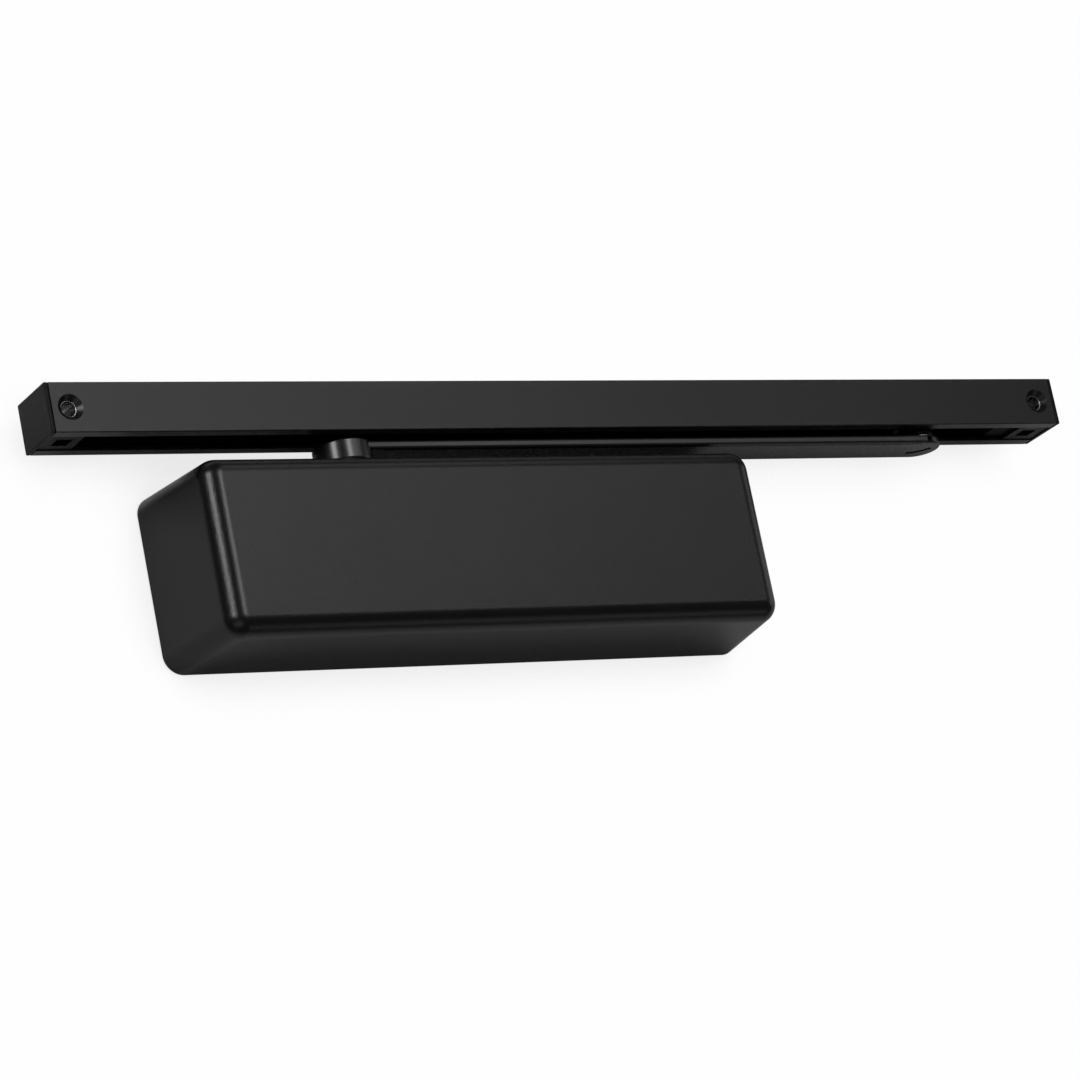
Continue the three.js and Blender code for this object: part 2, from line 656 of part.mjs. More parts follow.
function gearShape() {
  const base = PITCH_RADIUS * Math.cos(PRESSURE_ANGLE);
  const root = PITCH_RADIUS - GEAR_DEDENDUM;
  const tip = PITCH_RADIUS + GEAR_ADDENDUM;
  const flank = [0, 1, 2].map((i) => base + (tip - base) * i / 2);
  const points = [];
  for (let tooth = 0; tooth < TEETH; tooth += 1) {
    // a tooth space faces the rack, which lies towards -Y
    const middle = -Math.PI / 2 + (tooth + 0.5) * 2 * Math.PI / TEETH;
    const at = (radius, angle) => points.push([
      SPINDLE_X + radius * Math.cos(angle), AXIS_Y + radius * Math.sin(angle)]);
    at(root, middle - toothHalfAngle(base) - GEAR_ROOT_FLARE);
    for (const radius of flank) at(radius, middle - toothHalfAngle(radius));
    for (const radius of [...flank].reverse()) at(radius, middle + toothHalfAngle(radius));
    at(root, middle + toothHalfAngle(base) + GEAR_ROOT_FLARE);
  }
  return polygon(points);
}

function makePinion() {
  const upperHalf = [
    [GEAR_CORE_RADIUS, SHOULDER_FROM], [SHOULDER_RADIUS, SHOULDER_FROM], [SHOULDER_RADIUS, SHOULDER_TO],
    [SHAFT_RADIUS, SHOULDER_TO], [SHAFT_RADIUS, SHAFT_HALF], [0, SHAFT_HALF],
  ];
  const lowerHalf = upperHalf.map(([radius, z]) => [radius, -z]).reverse();
  const shaft = turned([...lowerHalf, ...upperHalf], 'z', atSpindle, 24);
  const half = SQUARE / 2;
  const drive = rectangle(SPINDLE_X - half, SPINDLE_X + half, AXIS_Y - half, AXIS_Y + half);
  const whole = join(
    shaft,
    prism(gearShape(), 'z', -GEAR_HALF, GEAR_HALF),
    prism(drive, 'z', SQUARE_FROM, SPINDLE_TOP),
    prism(drive, 'z', SPINDLE_FOOT, -SQUARE_FROM),
  );
  return cut(whole, rod('z', SPINDLE_SCREW_HOLE, SPINDLE_SCREW_FLOOR, SPINDLE_TOP + OVER, atSpindle, 14));
}

place('pinion', makePinion(), brightSteel);

// Rack teeth stand on the piston's front strip and point back towards the spindle.
function rackTeeth() {
  const pitch = Math.PI * MODULE;
  const pitchLine = AXIS_Y - PITCH_RADIUS - RACK_DROP;
  const slope = Math.tan(PRESSURE_ANGLE);
  const rise = AXIS_Y - SLOT_HALF - RACK_SINK - pitchLine;
  const halfAtPitch = (pitch / 2 - BACKLASH) / 2;
  const rootHalf = halfAtPitch - rise * slope;
  const tipHalf = halfAtPitch - RACK_ADDENDUM * slope;
  const teeth = [];
  for (let i = RACK_FIRST; i <= RACK_LAST; i += 1) {
    const x = SPINDLE_X + i * pitch;
    teeth.push(prism(polygon([
      [x - rootHalf, pitchLine + rise], [x + rootHalf, pitchLine + rise],
      [x + tipHalf, pitchLine + RACK_ADDENDUM], [x - tipHalf, pitchLine + RACK_ADDENDUM],
    ]), 'z', -GEAR_HALF, GEAR_HALF));
  }
  return teeth;
}

function makePiston() {
  const faceRadius = PISTON_RADIUS - PISTON_CHAMFER;
  const blank = turned([
    [0, PISTON_LEFT], [faceRadius, PISTON_LEFT], [PISTON_RADIUS, PISTON_LEFT + PISTON_CHAMFER],
    [PISTON_RADIUS, PISTON_RIGHT - PISTON_CHAMFER], [faceRadius, PISTON_RIGHT], [0, PISTON_RIGHT],
  ], 'x', onBore, 28);
  const slot = block(SLOT_LEFT, SLOT_RIGHT, AXIS_Y - SLOT_HALF, AXIS_Y + SLOT_HALF,
    -PISTON_RADIUS - OVER, PISTON_RADIUS + OVER);
  const springPocket = rod('x', SPRING_POCKET_RADIUS, PISTON_RIGHT - SPRING_POCKET_DEPTH,
    PISTON_RIGHT + OVER, onBore, 20);
  // check valve: a passage through the left head, widened for the ball
  const passage = rod('x', CHECK_PASSAGE_RADIUS, PISTON_LEFT - OVER, SLOT_LEFT + OVER,
    [0, CHECK_BALL_Y, 0], 12);
  const ballRoom = rod('x', CHECK_BALL_RADIUS + GAP, PISTON_LEFT - OVER, PISTON_LEFT + CHECK_ROOM_DEPTH,
    [0, CHECK_BALL_Y, 0], 16);
  return join(cut(blank, slot, springPocket, passage, ballRoom), ...rackTeeth());
}

place('piston', makePiston(), brightSteel);

function makeCheckBall() {
  const ball = new THREE.SphereGeometry(CHECK_BALL_RADIUS, 12, 8);
  ball.translate(PISTON_LEFT + CHECK_BALL_DEPTH, CHECK_BALL_Y, 0);
  return solid(ball);
}

place('check_ball', makeCheckBall(), brightSteel);
place('ball_retainer', ring('x', RETAINER_HOLE, CHECK_BALL_RADIUS, PISTON_LEFT + RETAINER_FROM,
  PISTON_LEFT + RETAINER_TO, [0, CHECK_BALL_Y, 0], 16), brass);

// ---------- closing spring, its seat and the power adjuster ----------

class Helix extends THREE.Curve {
  constructor(from, to) {
    super();
    this.from = from;
    this.to = to;
  }

  getPoint(t, target = new THREE.Vector3()) {
    const angle = t * SPRING_COILS * 2 * Math.PI;
    return target.set(
      this.from + (this.to - this.from) * t,
      AXIS_Y + SPRING_RADIUS * Math.cos(angle),
      SPRING_RADIUS * Math.sin(angle),
    );
  }
}

function makeSpring() {
  const from = PISTON_RIGHT + SPRING_WIRE + 2 * GAP;
  const to = SEAT_LEFT - SPRING_WIRE - 2 * GAP;
  return solid(new THREE.ExtrudeGeometry(regularPolygon(6, SPRING_WIRE), {
    steps: SPRING_COILS * 12,
    extrudePath: new Helix(from, to),
    bevelEnabled: false,
  }));
}

place('closing_spring', makeSpring(), springSteel);

place('spring_seat', ring('x', ADJUSTER_RADIUS + GAP, PISTON_RADIUS, SEAT_LEFT, SEAT_RIGHT, onBore, 26),
  brightSteel);

function makeAdjuster() {
  const head = PLUG_OUTER + GAP;
  const screw = turned([
    [0, ADJUSTER_LEFT], [ADJUSTER_RADIUS - ADJUSTER_CHAMFER, ADJUSTER_LEFT],
    [ADJUSTER_RADIUS, ADJUSTER_LEFT + ADJUSTER_CHAMFER], [ADJUSTER_RADIUS, head + OVER], [0, head + OVER],
  ], 'x', onBore, 16);
  const hex = regularPolygon(6, ADJUSTER_HEX_RADIUS, AXIS_Y, 0);
  return join(screw, prism(hex, 'x', head, head + ADJUSTER_HEX_LENGTH));
}

place('power_adjuster', makeAdjuster(), brightSteel);

// ---------- regulating valves ----------

function makeValve(x) {
  const head = VALVE_RIB_TOP + VALVE_HEAD_RISE;
  const valve = turned([
    [0, VALVE_FOOT], [VALVE_TIP_RADIUS, VALVE_FOOT], [VALVE_RADIUS, VALVE_FOOT + VALVE_TAPER],
    [VALVE_RADIUS, head - VALVE_CHAMFER], [VALVE_RADIUS - VALVE_CHAMFER, head], [0, head],
  ], 'z', [x, AXIS_Y, 0], 16);
  const socket = prism(regularPolygon(6, VALVE_RADIUS / 2, x, AXIS_Y), 'z',
    head - VALVE_SOCKET_DEPTH, head + OVER);
  return cut(valve, socket);
}

for (const [word, x] of Object.entries(VALVE_PLACES)) {
  place(`${word}_valve`, makeValve(x), brass);
}

// ---------- arm ----------

// The bar's plan: a strip with round ends, or a narrower outline set in from it.
function barOutline(inset) {
  const half = ARM_HALF_WIDTH - inset;
  const shape = new THREE.Shape();
  shape.moveTo(SPINDLE_X, AXIS_Y - half);
  shape.lineTo(ROLLER_X, AXIS_Y - half);
  shape.absarc(ROLLER_X, AXIS_Y, half, -Math.PI / 2, Math.PI / 2);
  shape.lineTo(SPINDLE_X, AXIS_Y + half);
  shape.absarc(SPINDLE_X, AXIS_Y, half, Math.PI / 2, 1.5 * Math.PI);
  return shape;
}

function makeArm() {
  const bar = new THREE.ExtrudeGeometry(barOutline(ARM_EDGE), {
    depth: ARM_TOP - ARM_BOTTOM - 2 * ARM_EDGE,
    bevelEnabled: true,
    bevelThickness: ARM_EDGE,
    bevelSize: ARM_EDGE,
    bevelSegments: 2,
    curveSegments: 10,
  });
  bar.translate(0, 0, ARM_BOTTOM + ARM_EDGE);
  const coneRadius = HUB_RADIUS - HUB_CONE_IN;
  const hub = turned([
    [0, HUB_BOTTOM], [HUB_RADIUS - HUB_FOOT_CHAMFER, HUB_BOTTOM], [HUB_RADIUS, HUB_BOTTOM + HUB_FOOT_CHAMFER],
    [HUB_RADIUS, HUB_SHOULDER], [coneRadius, HUB_TOP - HUB_TOP_CHAMFER],
    [coneRadius - HUB_TOP_CHAMFER, HUB_TOP], [0, HUB_TOP],
  ], 'z', atSpindle, 32);
  const half = SQUARE / 2 + GAP;
  const drive = rectangle(SPINDLE_X - half, SPINDLE_X + half, AXIS_Y - half, AXIS_Y + half);
  // a fine groove under the bar's front edge, and a curved one across its end
  const edgeY = AXIS_Y - ARM_HALF_WIDTH;
  const groove = block(SPINDLE_X + HUB_RADIUS + GROOVE_FROM_HUB, ROLLER_X - GROOVE_FROM_ROLLER,
    edgeY + GROOVE_IN, edgeY + GROOVE_IN + GROOVE_WIDTH, ARM_BOTTOM - OVER, ARM_BOTTOM + GROOVE_DEPTH);
  const curve = new THREE.Shape();
  const [curveX, curveY] = [ROLLER_X - CURVE_LEFT, AXIS_Y - CURVE_FRONT];
  curve.absarc(curveX, curveY, CURVE_OUTER, CURVE_FROM, CURVE_TO, false);
  curve.absarc(curveX, curveY, CURVE_INNER, CURVE_TO, CURVE_FROM, true);
  return cut(
    join(solid(bar), hub),
    prism(drive, 'z', HUB_BOTTOM - OVER, ARM_SQUARE_TOP),
    rod('z', ARM_SCREW_HOLE, ARM_SQUARE_TOP - OVER, ARM_RECESS_FLOOR + OVER, atSpindle, 16),
    rod('z', ARM_RECESS_RADIUS, ARM_RECESS_FLOOR, HUB_TOP + OVER, atSpindle, 24),
    rod('z', STUD_RADIUS + GAP, STUD_FOOT - GAP, ARM_TOP + OVER, atRoller, 20),
    rod('y', PIN_HOLE, edgeY - OVER, AXIS_Y, [ROLLER_X, 0, PIN_Z], 14),
    groove,
    prism(curve, 'z', ARM_BOTTOM - OVER, ARM_BOTTOM + CURVE_DEPTH, 7),
  );
}

place('arm', makeArm(), blackSteel);

function makeArmScrew() {
  const head = ARM_SCREW_HEAD_FROM;
  const top = head + ARM_SCREW_HEAD_HEIGHT;
  const screw = turned([
    [0, ARM_SCREW_FOOT], [ARM_SCREW_RADIUS - ARM_SCREW_POINT, ARM_SCREW_FOOT],
    [ARM_SCREW_RADIUS, ARM_SCREW_FOOT + ARM_SCREW_POINT], [ARM_SCREW_RADIUS, head],
    [ARM_SCREW_HEAD_RADIUS, head], [ARM_SCREW_HEAD_RADIUS, top - ARM_SCREW_HEAD_CHAMFER],
    [ARM_SCREW_HEAD_RADIUS - ARM_SCREW_HEAD_CHAMFER, top], [0, top],
  ], 'z', atSpindle, 18);
  const socket = regularPolygon(6, ARM_SCREW_SOCKET_RADIUS, SPINDLE_X, AXIS_Y);
  return cut(screw, prism(socket, 'z', head + ARM_SCREW_SOCKET_FLOOR, top + OVER));
}

place('arm_screw', makeArmScrew(), blackSteel);
place('arm_washer', ring('z', WASHER_HOLE, WASHER_RADIUS, WASHER_BOTTOM, WASHER_TOP, atSpindle, 20),
  blackSteel);

function makeStud() {
  const grooveRadius = STUD_RADIUS - STUD_GROOVE_DEPTH;
  const stud = turned([
    [0, STUD_FOOT], [STUD_RADIUS, STUD_FOOT], [STUD_RADIUS, STUD_GROOVE_FROM],
    [grooveRadius, STUD_GROOVE_FROM], [grooveRadius, STUD_GROOVE_TO], [STUD_RADIUS, STUD_GROOVE_TO],
    [STUD_RADIUS, STUD_TOP - STUD_CHAMFER], [STUD_RADIUS - STUD_CHAMFER, STUD_TOP], [0, STUD_TOP],
  ], 'z', atRoller, 20);
  return cut(stud, rod('y', PIN_HOLE, AXIS_Y - STUD_RADIUS - OVER, PIN_HOLE_END, [ROLLER_X, 0, PIN_Z], 14));
}

place('roller_stud', makeStud(), brightSteel);

// Spring pin: a rolled tube with a slit, driven in from the arm's front edge.
function makeStudPin() {
  const centre = [ROLLER_X, 0, PIN_Z];
  const front = AXIS_Y - ARM_HALF_WIDTH + PIN_SUNK;
  const tube = ring('y', PIN_BORE, PIN_HOLE - GAP, front, PIN_END, centre, 14);
  return cut(tube, block(ROLLER_X, ROLLER_X + PIN_HOLE, front - OVER, AXIS_Y,
    PIN_Z - PIN_SLIT_HALF, PIN_Z + PIN_SLIT_HALF));
}

place('stud_pin', makeStudPin(), springSteel);
place('roller_washer', ring('z', STUD_RADIUS + GAP, NECK_RADIUS, ARM_TOP + GAP, ROLLER_BOTTOM - GAP,
  atRoller, 20), brightSteel);

function makeCirclip() {
  const clip = ring('z', CIRCLIP_INNER, CIRCLIP_OUTER, CIRCLIP_FROM, CIRCLIP_TO, atRoller, 20);
  return cut(clip, block(ROLLER_X - CIRCLIP_GAP_HALF, ROLLER_X + CIRCLIP_GAP_HALF, AXIS_Y,
    AXIS_Y + CIRCLIP_OUTER + OVER, CIRCLIP_FROM - OVER, CIRCLIP_TO + OVER));
}

place('roller_circlip', makeCirclip(), springSteel);

// ---------- roller ----------

place('roller_bush', ring('z', STUD_RADIUS + GAP, BUSH_RADIUS, ROLLER_BOTTOM, ROLLER_TOP + BUSH_RISE,
  atRoller, 20), brass);

place('track_roller', turned([
  [BUSH_RADIUS + GAP, ROLLER_BOTTOM], [NECK_RADIUS - NECK_CHAMFER, ROLLER_BOTTOM],
  [NECK_RADIUS, ROLLER_BOTTOM + NECK_CHAMFER], [NECK_RADIUS, ROLLER_STEP],
  [ROLLER_RADIUS - ROLLER_FOOT_CHAMFER, ROLLER_STEP], [ROLLER_RADIUS, ROLLER_STEP + ROLLER_FOOT_CHAMFER],
  [ROLLER_RADIUS, ROLLER_TOP - ROLLER_CHAMFER], [ROLLER_RADIUS - ROLLER_CHAMFER, ROLLER_TOP],
  [BUSH_RADIUS + GAP, ROLLER_TOP], [BUSH_RADIUS + GAP, ROLLER_BOTTOM],
], 'z', atRoller, 28), blackPlastic);

// ---------- track ----------

const CHANNEL_FLOOR = TRACK_BOTTOM + LIP_THICKNESS;
const CHANNEL_ROOF = TRACK_TOP - TRACK_WALL;
const SLOT_HALF_WIDTH = TRACK_DEPTH / 2 - TRACK_LIP;
const INSIDE_HALF_WIDTH = TRACK_DEPTH / 2 - TRACK_WALL;
const HOLES = { left: TRACK_LEFT + HOLE_INSET, right: TRACK_RIGHT - HOLE_INSET };

function makeChannel() {
  const section = polygon([
    [TRACK_FRONT, TRACK_BOTTOM], [AXIS_Y - SLOT_HALF_WIDTH, TRACK_BOTTOM],
    [AXIS_Y - SLOT_HALF_WIDTH, CHANNEL_FLOOR], [AXIS_Y - INSIDE_HALF_WIDTH, CHANNEL_FLOOR],
    [AXIS_Y - INSIDE_HALF_WIDTH, CHANNEL_ROOF], [AXIS_Y + INSIDE_HALF_WIDTH, CHANNEL_ROOF],
    [AXIS_Y + INSIDE_HALF_WIDTH, CHANNEL_FLOOR], [AXIS_Y + SLOT_HALF_WIDTH, CHANNEL_FLOOR],
    [AXIS_Y + SLOT_HALF_WIDTH, TRACK_BOTTOM], [TRACK_BACK, TRACK_BOTTOM],
    [TRACK_BACK, TRACK_TOP], [TRACK_FRONT, TRACK_TOP],
  ]);
  const cuts = [];
  for (const x of Object.values(HOLES)) {
    const centre = [x, 0, TRACK_MID_Z];
    cuts.push(rod('y', HOLE_RADIUS, TRACK_FRONT - OVER, TRACK_BACK + OVER, centre, 20));
    cuts.push(cone('y', COUNTERSINK_RADIUS + OVER, HOLE_RADIUS, TRACK_FRONT - OVER,
      TRACK_FRONT + COUNTERSINK_RADIUS - HOLE_RADIUS, centre, 20));
  }
  return cut(prism(section, 'x', CHANNEL_LEFT, CHANNEL_RIGHT), ...cuts);
}

place('track_channel', makeChannel(), anodised);

// Pegs on each end cap press into holes in the end block beside it.
const PEG_PLACES = [-1, 1].flatMap((a) => (
  [-1, 1].map((b) => [AXIS_Y + a * PEG_OUT_Y, TRACK_MID_Z + b * PEG_OUT_Z])
));

function makeEndBlock(word) {
  const atLeft = word === 'left';
  const from = atLeft ? CHANNEL_LEFT : CHANNEL_RIGHT - BLOCK_LENGTH;
  const to = from + BLOCK_LENGTH;
  const half = INSIDE_HALF_WIDTH - GAP;
  const filler = block(from, to, AXIS_Y - half, AXIS_Y + half, CHANNEL_FLOOR + GAP, CHANNEL_ROOF - GAP);
  const tongue = SLOT_HALF_WIDTH - GAP;
  const foot = block(from, to, AXIS_Y - tongue, AXIS_Y + tongue, TRACK_BOTTOM + BLOCK_FOOT_RISE,
    CHANNEL_FLOOR + OVER);
  const x = HOLES[word];
  const pocket = block(x - BLOCK_POCKET_HALF, x + BLOCK_POCKET_HALF, AXIS_Y - BLOCK_POCKET_HALF,
    AXIS_Y + BLOCK_POCKET_HALF, TRACK_BOTTOM - OVER, TRACK_BOTTOM + BLOCK_POCKET_DEPTH);
  const outside = atLeft ? from : to;
  const inward = atLeft ? 1 : -1;
  const pegHoles = PEG_PLACES.map(([y, z]) => rod('x', PEG_RADIUS + GAP,
    Math.min(outside - inward, outside + inward * (PEG_LENGTH + OVER)),
    Math.max(outside - inward, outside + inward * (PEG_LENGTH + OVER)), [0, y, z], 8));
  const bore = rod('y', SLEEVE_RADIUS + GAP, TRACK_FRONT, TRACK_BACK, [x, 0, TRACK_MID_Z], 20);
  return cut(join(filler, foot), bore, pocket, ...pegHoles);
}

function makeEndCap(word) {
  const from = word === 'left' ? TRACK_LEFT : TRACK_RIGHT - CAP_THICKNESS;
  const inward = word === 'left' ? 1 : -1;
  const plate = prism(rectangle(TRACK_FRONT, TRACK_BACK, TRACK_BOTTOM, TRACK_TOP, CAP_ROUND), 'x',
    from, from + CAP_THICKNESS, 2);
  const face = word === 'left' ? from + CAP_THICKNESS : from;
  const pegs = PEG_PLACES.map(([y, z]) => rod('x', PEG_RADIUS,
    Math.min(face - inward, face + inward * PEG_LENGTH),
    Math.max(face - inward, face + inward * PEG_LENGTH), [0, y, z], 8));
  return join(plate, ...pegs);
}

for (const word of ['left', 'right']) {
  place(`end_block_${word}`, makeEndBlock(word), blackPlastic);
  place(`end_cap_${word}`, makeEndCap(word), blackPlastic);
  place(`screw_sleeve_${word}`, ring('y', SLEEVE_BORE, SLEEVE_RADIUS, AXIS_Y - INSIDE_HALF_WIDTH + GAP,
    AXIS_Y + INSIDE_HALF_WIDTH - GAP, [HOLES[word], 0, TRACK_MID_Z], 20), brightSteel);
}

function makeBumper() {
  const to = CHANNEL_RIGHT - BLOCK_LENGTH - GAP;
  const from = to - BUMPER_LENGTH;
  const half = INSIDE_HALF_WIDTH - BUMPER_PLAY;
  const noseHalf = half - BUMPER_NOSE_SIDE;
  const shoulder = from + BUMPER_NOSE;
  const plan = polygon([
    [shoulder, AXIS_Y - half], [to, AXIS_Y - half], [to, AXIS_Y + half], [shoulder, AXIS_Y + half],
    [from, AXIS_Y + noseHalf], [from, AXIS_Y - noseHalf],
  ]);
  return prism(plan, 'z', CHANNEL_FLOOR + BUMPER_FLOOR_GAP, CHANNEL_ROOF - BUMPER_ROOF_GAP);
}

place('track_bumper', makeBumper(), blackRubber);

export default group;
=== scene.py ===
"""Looks of a surface door closer with a slide track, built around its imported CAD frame.

Metres, in the frame's own axes: +X along the door, +Y into the door, +Z up. Dimensions in the
piece code are millimetres and are scaled by MM where a mesh is made.
"""
import json
import math

import bpy
import bmesh
from mathutils import Matrix, Vector


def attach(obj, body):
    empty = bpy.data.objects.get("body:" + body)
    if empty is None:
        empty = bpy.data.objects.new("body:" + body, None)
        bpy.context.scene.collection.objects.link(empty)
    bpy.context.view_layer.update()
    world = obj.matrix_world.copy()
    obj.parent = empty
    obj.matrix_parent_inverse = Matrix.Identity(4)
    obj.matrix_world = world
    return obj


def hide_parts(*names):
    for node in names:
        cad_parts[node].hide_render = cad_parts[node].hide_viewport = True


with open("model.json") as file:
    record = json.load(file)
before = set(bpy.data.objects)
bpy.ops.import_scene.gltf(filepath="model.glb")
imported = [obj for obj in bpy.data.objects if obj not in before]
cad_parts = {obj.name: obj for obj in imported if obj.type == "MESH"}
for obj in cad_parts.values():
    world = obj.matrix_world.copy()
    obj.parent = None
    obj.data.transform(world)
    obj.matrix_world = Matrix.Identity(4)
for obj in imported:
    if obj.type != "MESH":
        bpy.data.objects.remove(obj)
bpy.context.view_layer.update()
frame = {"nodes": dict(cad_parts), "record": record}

MM = 0.001
RECORD = frame["record"]
BODY_OF = {node: body for body, nodes in RECORD["behaviour"]["bodies"].items() for node in nodes}
SLOT_OF = {row["node"]: row["material_slot"] for row in RECORD["subparts"]}

# ---- dimensions used by several pieces, the same as in the CAD part

SPINDLE_X, AXIS_Y, ROLLER_X = -60.0, -30.0, 270.0
AT_SPINDLE = (SPINDLE_X, AXIS_Y, 0.0)
AT_ROLLER = (ROLLER_X, AXIS_Y, 0.0)
ON_BORE = (0.0, AXIS_Y, 0.0)

COVER_LENGTH, COVER_DEPTH, COVER_HEIGHT = 313.0, 58.0, 87.0
COVER_WALL, COVER_CORNER, COVER_FILLET = 2.5, 9.6, 9.0
COVER_END_DRAFT, COVER_SIDE_DRAFT = 8.5, 0.5

TRACK_LEFT, TRACK_RIGHT = -215.0, 350.0
TRACK_FRONT, TRACK_BACK = -45.0, -15.0
TRACK_BOTTOM, TRACK_TOP = 59.2, 83.7
TRACK_MID_Z = (TRACK_BOTTOM + TRACK_TOP) / 2
CHANNEL_LEFT, CHANNEL_RIGHT = TRACK_LEFT + 2.3, TRACK_RIGHT - 2.3
CHANNEL_FLOOR, CHANNEL_ROOF = TRACK_BOTTOM + 2.2, TRACK_TOP - 2.4
HOLE_X = {"left": TRACK_LEFT + 11.5, "right": TRACK_RIGHT - 11.5}
SINK_RADIUS = 6.3
PEG_Y, PEG_Z = 8.5, 7.9
PEG_PLACES = [(dy, dz) for dy in (-PEG_Y, PEG_Y) for dz in (-PEG_Z, PEG_Z)]
BLOCK_LENGTH, BLOCK_HALF_DEPTH, BLOCK_GAP = 17.6, 12.3, 0.3

ARM_BOTTOM, ARM_TOP, ARM_HALF_WIDTH = 51.1, 55.6, 11.0
PIN_Z, PIN_HOLE_RADIUS = 53.35, 1.6
BUSH_BORE = 4.3

BARREL, BARREL_END = 23.0, 136.0
BORE, BORE_FIT = 19.0, 18.7                        # the cylinder, and the pieces in it
BOSS_BORE, BOSS_FIT, SHAFT_BORE = 14.3, 14.0, 8.7  # round the spindle, and the rings in it
LUG_START, LUG_END = 118.0, 146.0
CLIP_X, CLIP_SCREW_HOLE = 143.0, 1.8
VALVE_X = {"backcheck": 40.0, "sweep": 96.0, "latch": 114.0}
CHECK_AXIS = (0.0, -22.0, 0.0)                     # of the check valve in the piston

TOOTH_MODULE, TEETH, TOOTH_PRESSURE = 1.75, 12, math.radians(25)
TOOTH_BACKLASH, TOOTH_HALF_WIDTH = 0.4, 9.5
PITCH_RADIUS = TOOTH_MODULE * TEETH / 2

SIDES = (("left", -1), ("right", 1))

# ---- mesh helpers

ON_AXIS = 1e-6        # a turned point nearer to the axis than this is on it
STRAIGHT = 1e-3       # a corner within this of straight or folded, in radians, isn't rounded
EDGE_SHARE = 0.49     # the share of an edge that one rounded corner may take
SAME_POINT = 1e-6     # metres
FLAT_ANGLE = 0.2      # degrees between faces that are made one


def new_object(name, verts, faces):
    mesh = bpy.data.meshes.new(name)
    mesh.from_pydata([Vector(v) * MM for v in verts], [], faces)
    obj = bpy.data.objects.new(name, mesh)
    bpy.context.scene.collection.objects.link(obj)
    work = bmesh.new()
    work.from_mesh(mesh)
    bmesh.ops.recalc_face_normals(work, faces=work.faces)
    work.to_mesh(mesh)
    work.free()
    return obj


def to_axis(axis, a, b, s):
    """A drawn point (a, b) at station s of an axis: (y, z) for x, (z, x) for y, (x, y) for z."""
    if axis == "x":
        return (s, a, b)
    if axis == "y":
        return (b, s, a)
    return (a, b, s)


def arc(ca, cb, radius, start, end, steps):
    out = []
    for i in range(steps + 1):
        t = math.radians(start + (end - start) * i / steps)
        out.append((ca + radius * math.cos(t), cb + radius * math.sin(t)))
    return out


def rectangle(a0, a1, b0, b1):
    return [(a0, b0), (a1, b0), (a1, b1), (a0, b1)]


def rounded(points, radius, steps=4):
    """A closed line with its corners rounded, by one radius or one per corner. An open line's ends
    have radius 0."""
    count = len(points)
    out = []
    for i, here in enumerate(points):
        r = radius[i] if isinstance(radius, (list, tuple)) else radius
        if r <= 0:
            out.append(here)
            continue
        p, q, n = Vector(here), Vector(points[i - 1]), Vector(points[(i + 1) % count])
        u, w = (q - p).normalized(), (n - p).normalized()
        half = u.angle(w) / 2
        if half < STRAIGHT or half > math.pi / 2 - STRAIGHT:
            out.append(here)
            continue
        reach = min(r / math.tan(half), (q - p).length * EDGE_SHARE, (n - p).length * EDGE_SHARE)
        r = reach * math.tan(half)
        centre = p + (u + w).normalized() * (r / math.sin(half))
        a, b = p + u * reach - centre, p + w * reach - centre
        turn = a.angle(b)
        side = math.copysign(1.0, a.x * b.y - a.y * b.x)
        for k in range(steps + 1):
            t = side * turn * k / steps
            out.append((centre.x + a.x * math.cos(t) - a.y * math.sin(t),
                        centre.y + a.x * math.sin(t) + a.y * math.cos(t)))
    return out


def revolve(name, profile, centre, axis="z", segments=96, closed=False):
    """A turned body: (radius, station) pairs from the axis back to the axis, or a closed ring."""
    base = {"x": (centre[1], centre[2]), "y": (centre[2], centre[0]), "z": (centre[0], centre[1])}[axis]
    verts, rings = [], []
    for radius, station in profile:
        if radius < ON_AXIS:
            rings.append([len(verts)])
            verts.append(to_axis(axis, base[0], base[1], station))
            continue
        rings.append(range(len(verts), len(verts) + segments))
        for k in range(segments):
            t = 2 * math.pi * k / segments
            a, b = base[0] + radius * math.cos(t), base[1] + radius * math.sin(t)
            verts.append(to_axis(axis, a, b, station))
    faces = []
    pairs = list(zip(rings, rings[1:])) + ([(rings[-1], rings[0])] if closed else [])
    for low, high in pairs:
        for k in range(segments):
            j = (k + 1) % segments
            if len(low) == 1 and len(high) == 1:
                continue
            if len(low) == 1:
                faces.append((low[0], high[j], high[k]))
            elif len(high) == 1:
                faces.append((low[k], low[j], high[0]))
            else:
                faces.append((low[k], low[j], high[j], high[k]))
    return new_object(name, verts, faces)


def rod(name, axis, radius, low, high, centre, segments=64):
    return revolve(name, rectangle(0, radius, low, high), centre, axis, segments)


def ring(name, axis, inner, outer, low, high, edge, centre, segments=80):
    """A plain ring with its four edges rounded."""
    profile = rounded(rectangle(inner, outer, low, high), edge, 3)
    return revolve(name, profile, centre, axis, segments, closed=True)


def extrude(name, outline, axis, low, high):
    count = len(outline)
    verts = [to_axis(axis, a, b, low) for a, b in outline] + [to_axis(axis, a, b, high) for a, b in outline]
    faces = [tuple(range(count))[::-1], tuple(range(count, 2 * count))]
    for k in range(count):
        j = (k + 1) % count
        faces.append((k, j, count + j, count + k))
    return new_object(name, verts, faces)


def box(name, x0, x1, y0, y1, z0, z1):
    return extrude(name, rectangle(x0, x1, y0, y1), "z", z0, z1)


def polygon(sides, radius, ca, cb):
    turns = [2 * math.pi * k / sides for k in range(sides)]
    return [(ca + radius * math.cos(t), cb + radius * math.sin(t)) for t in turns]


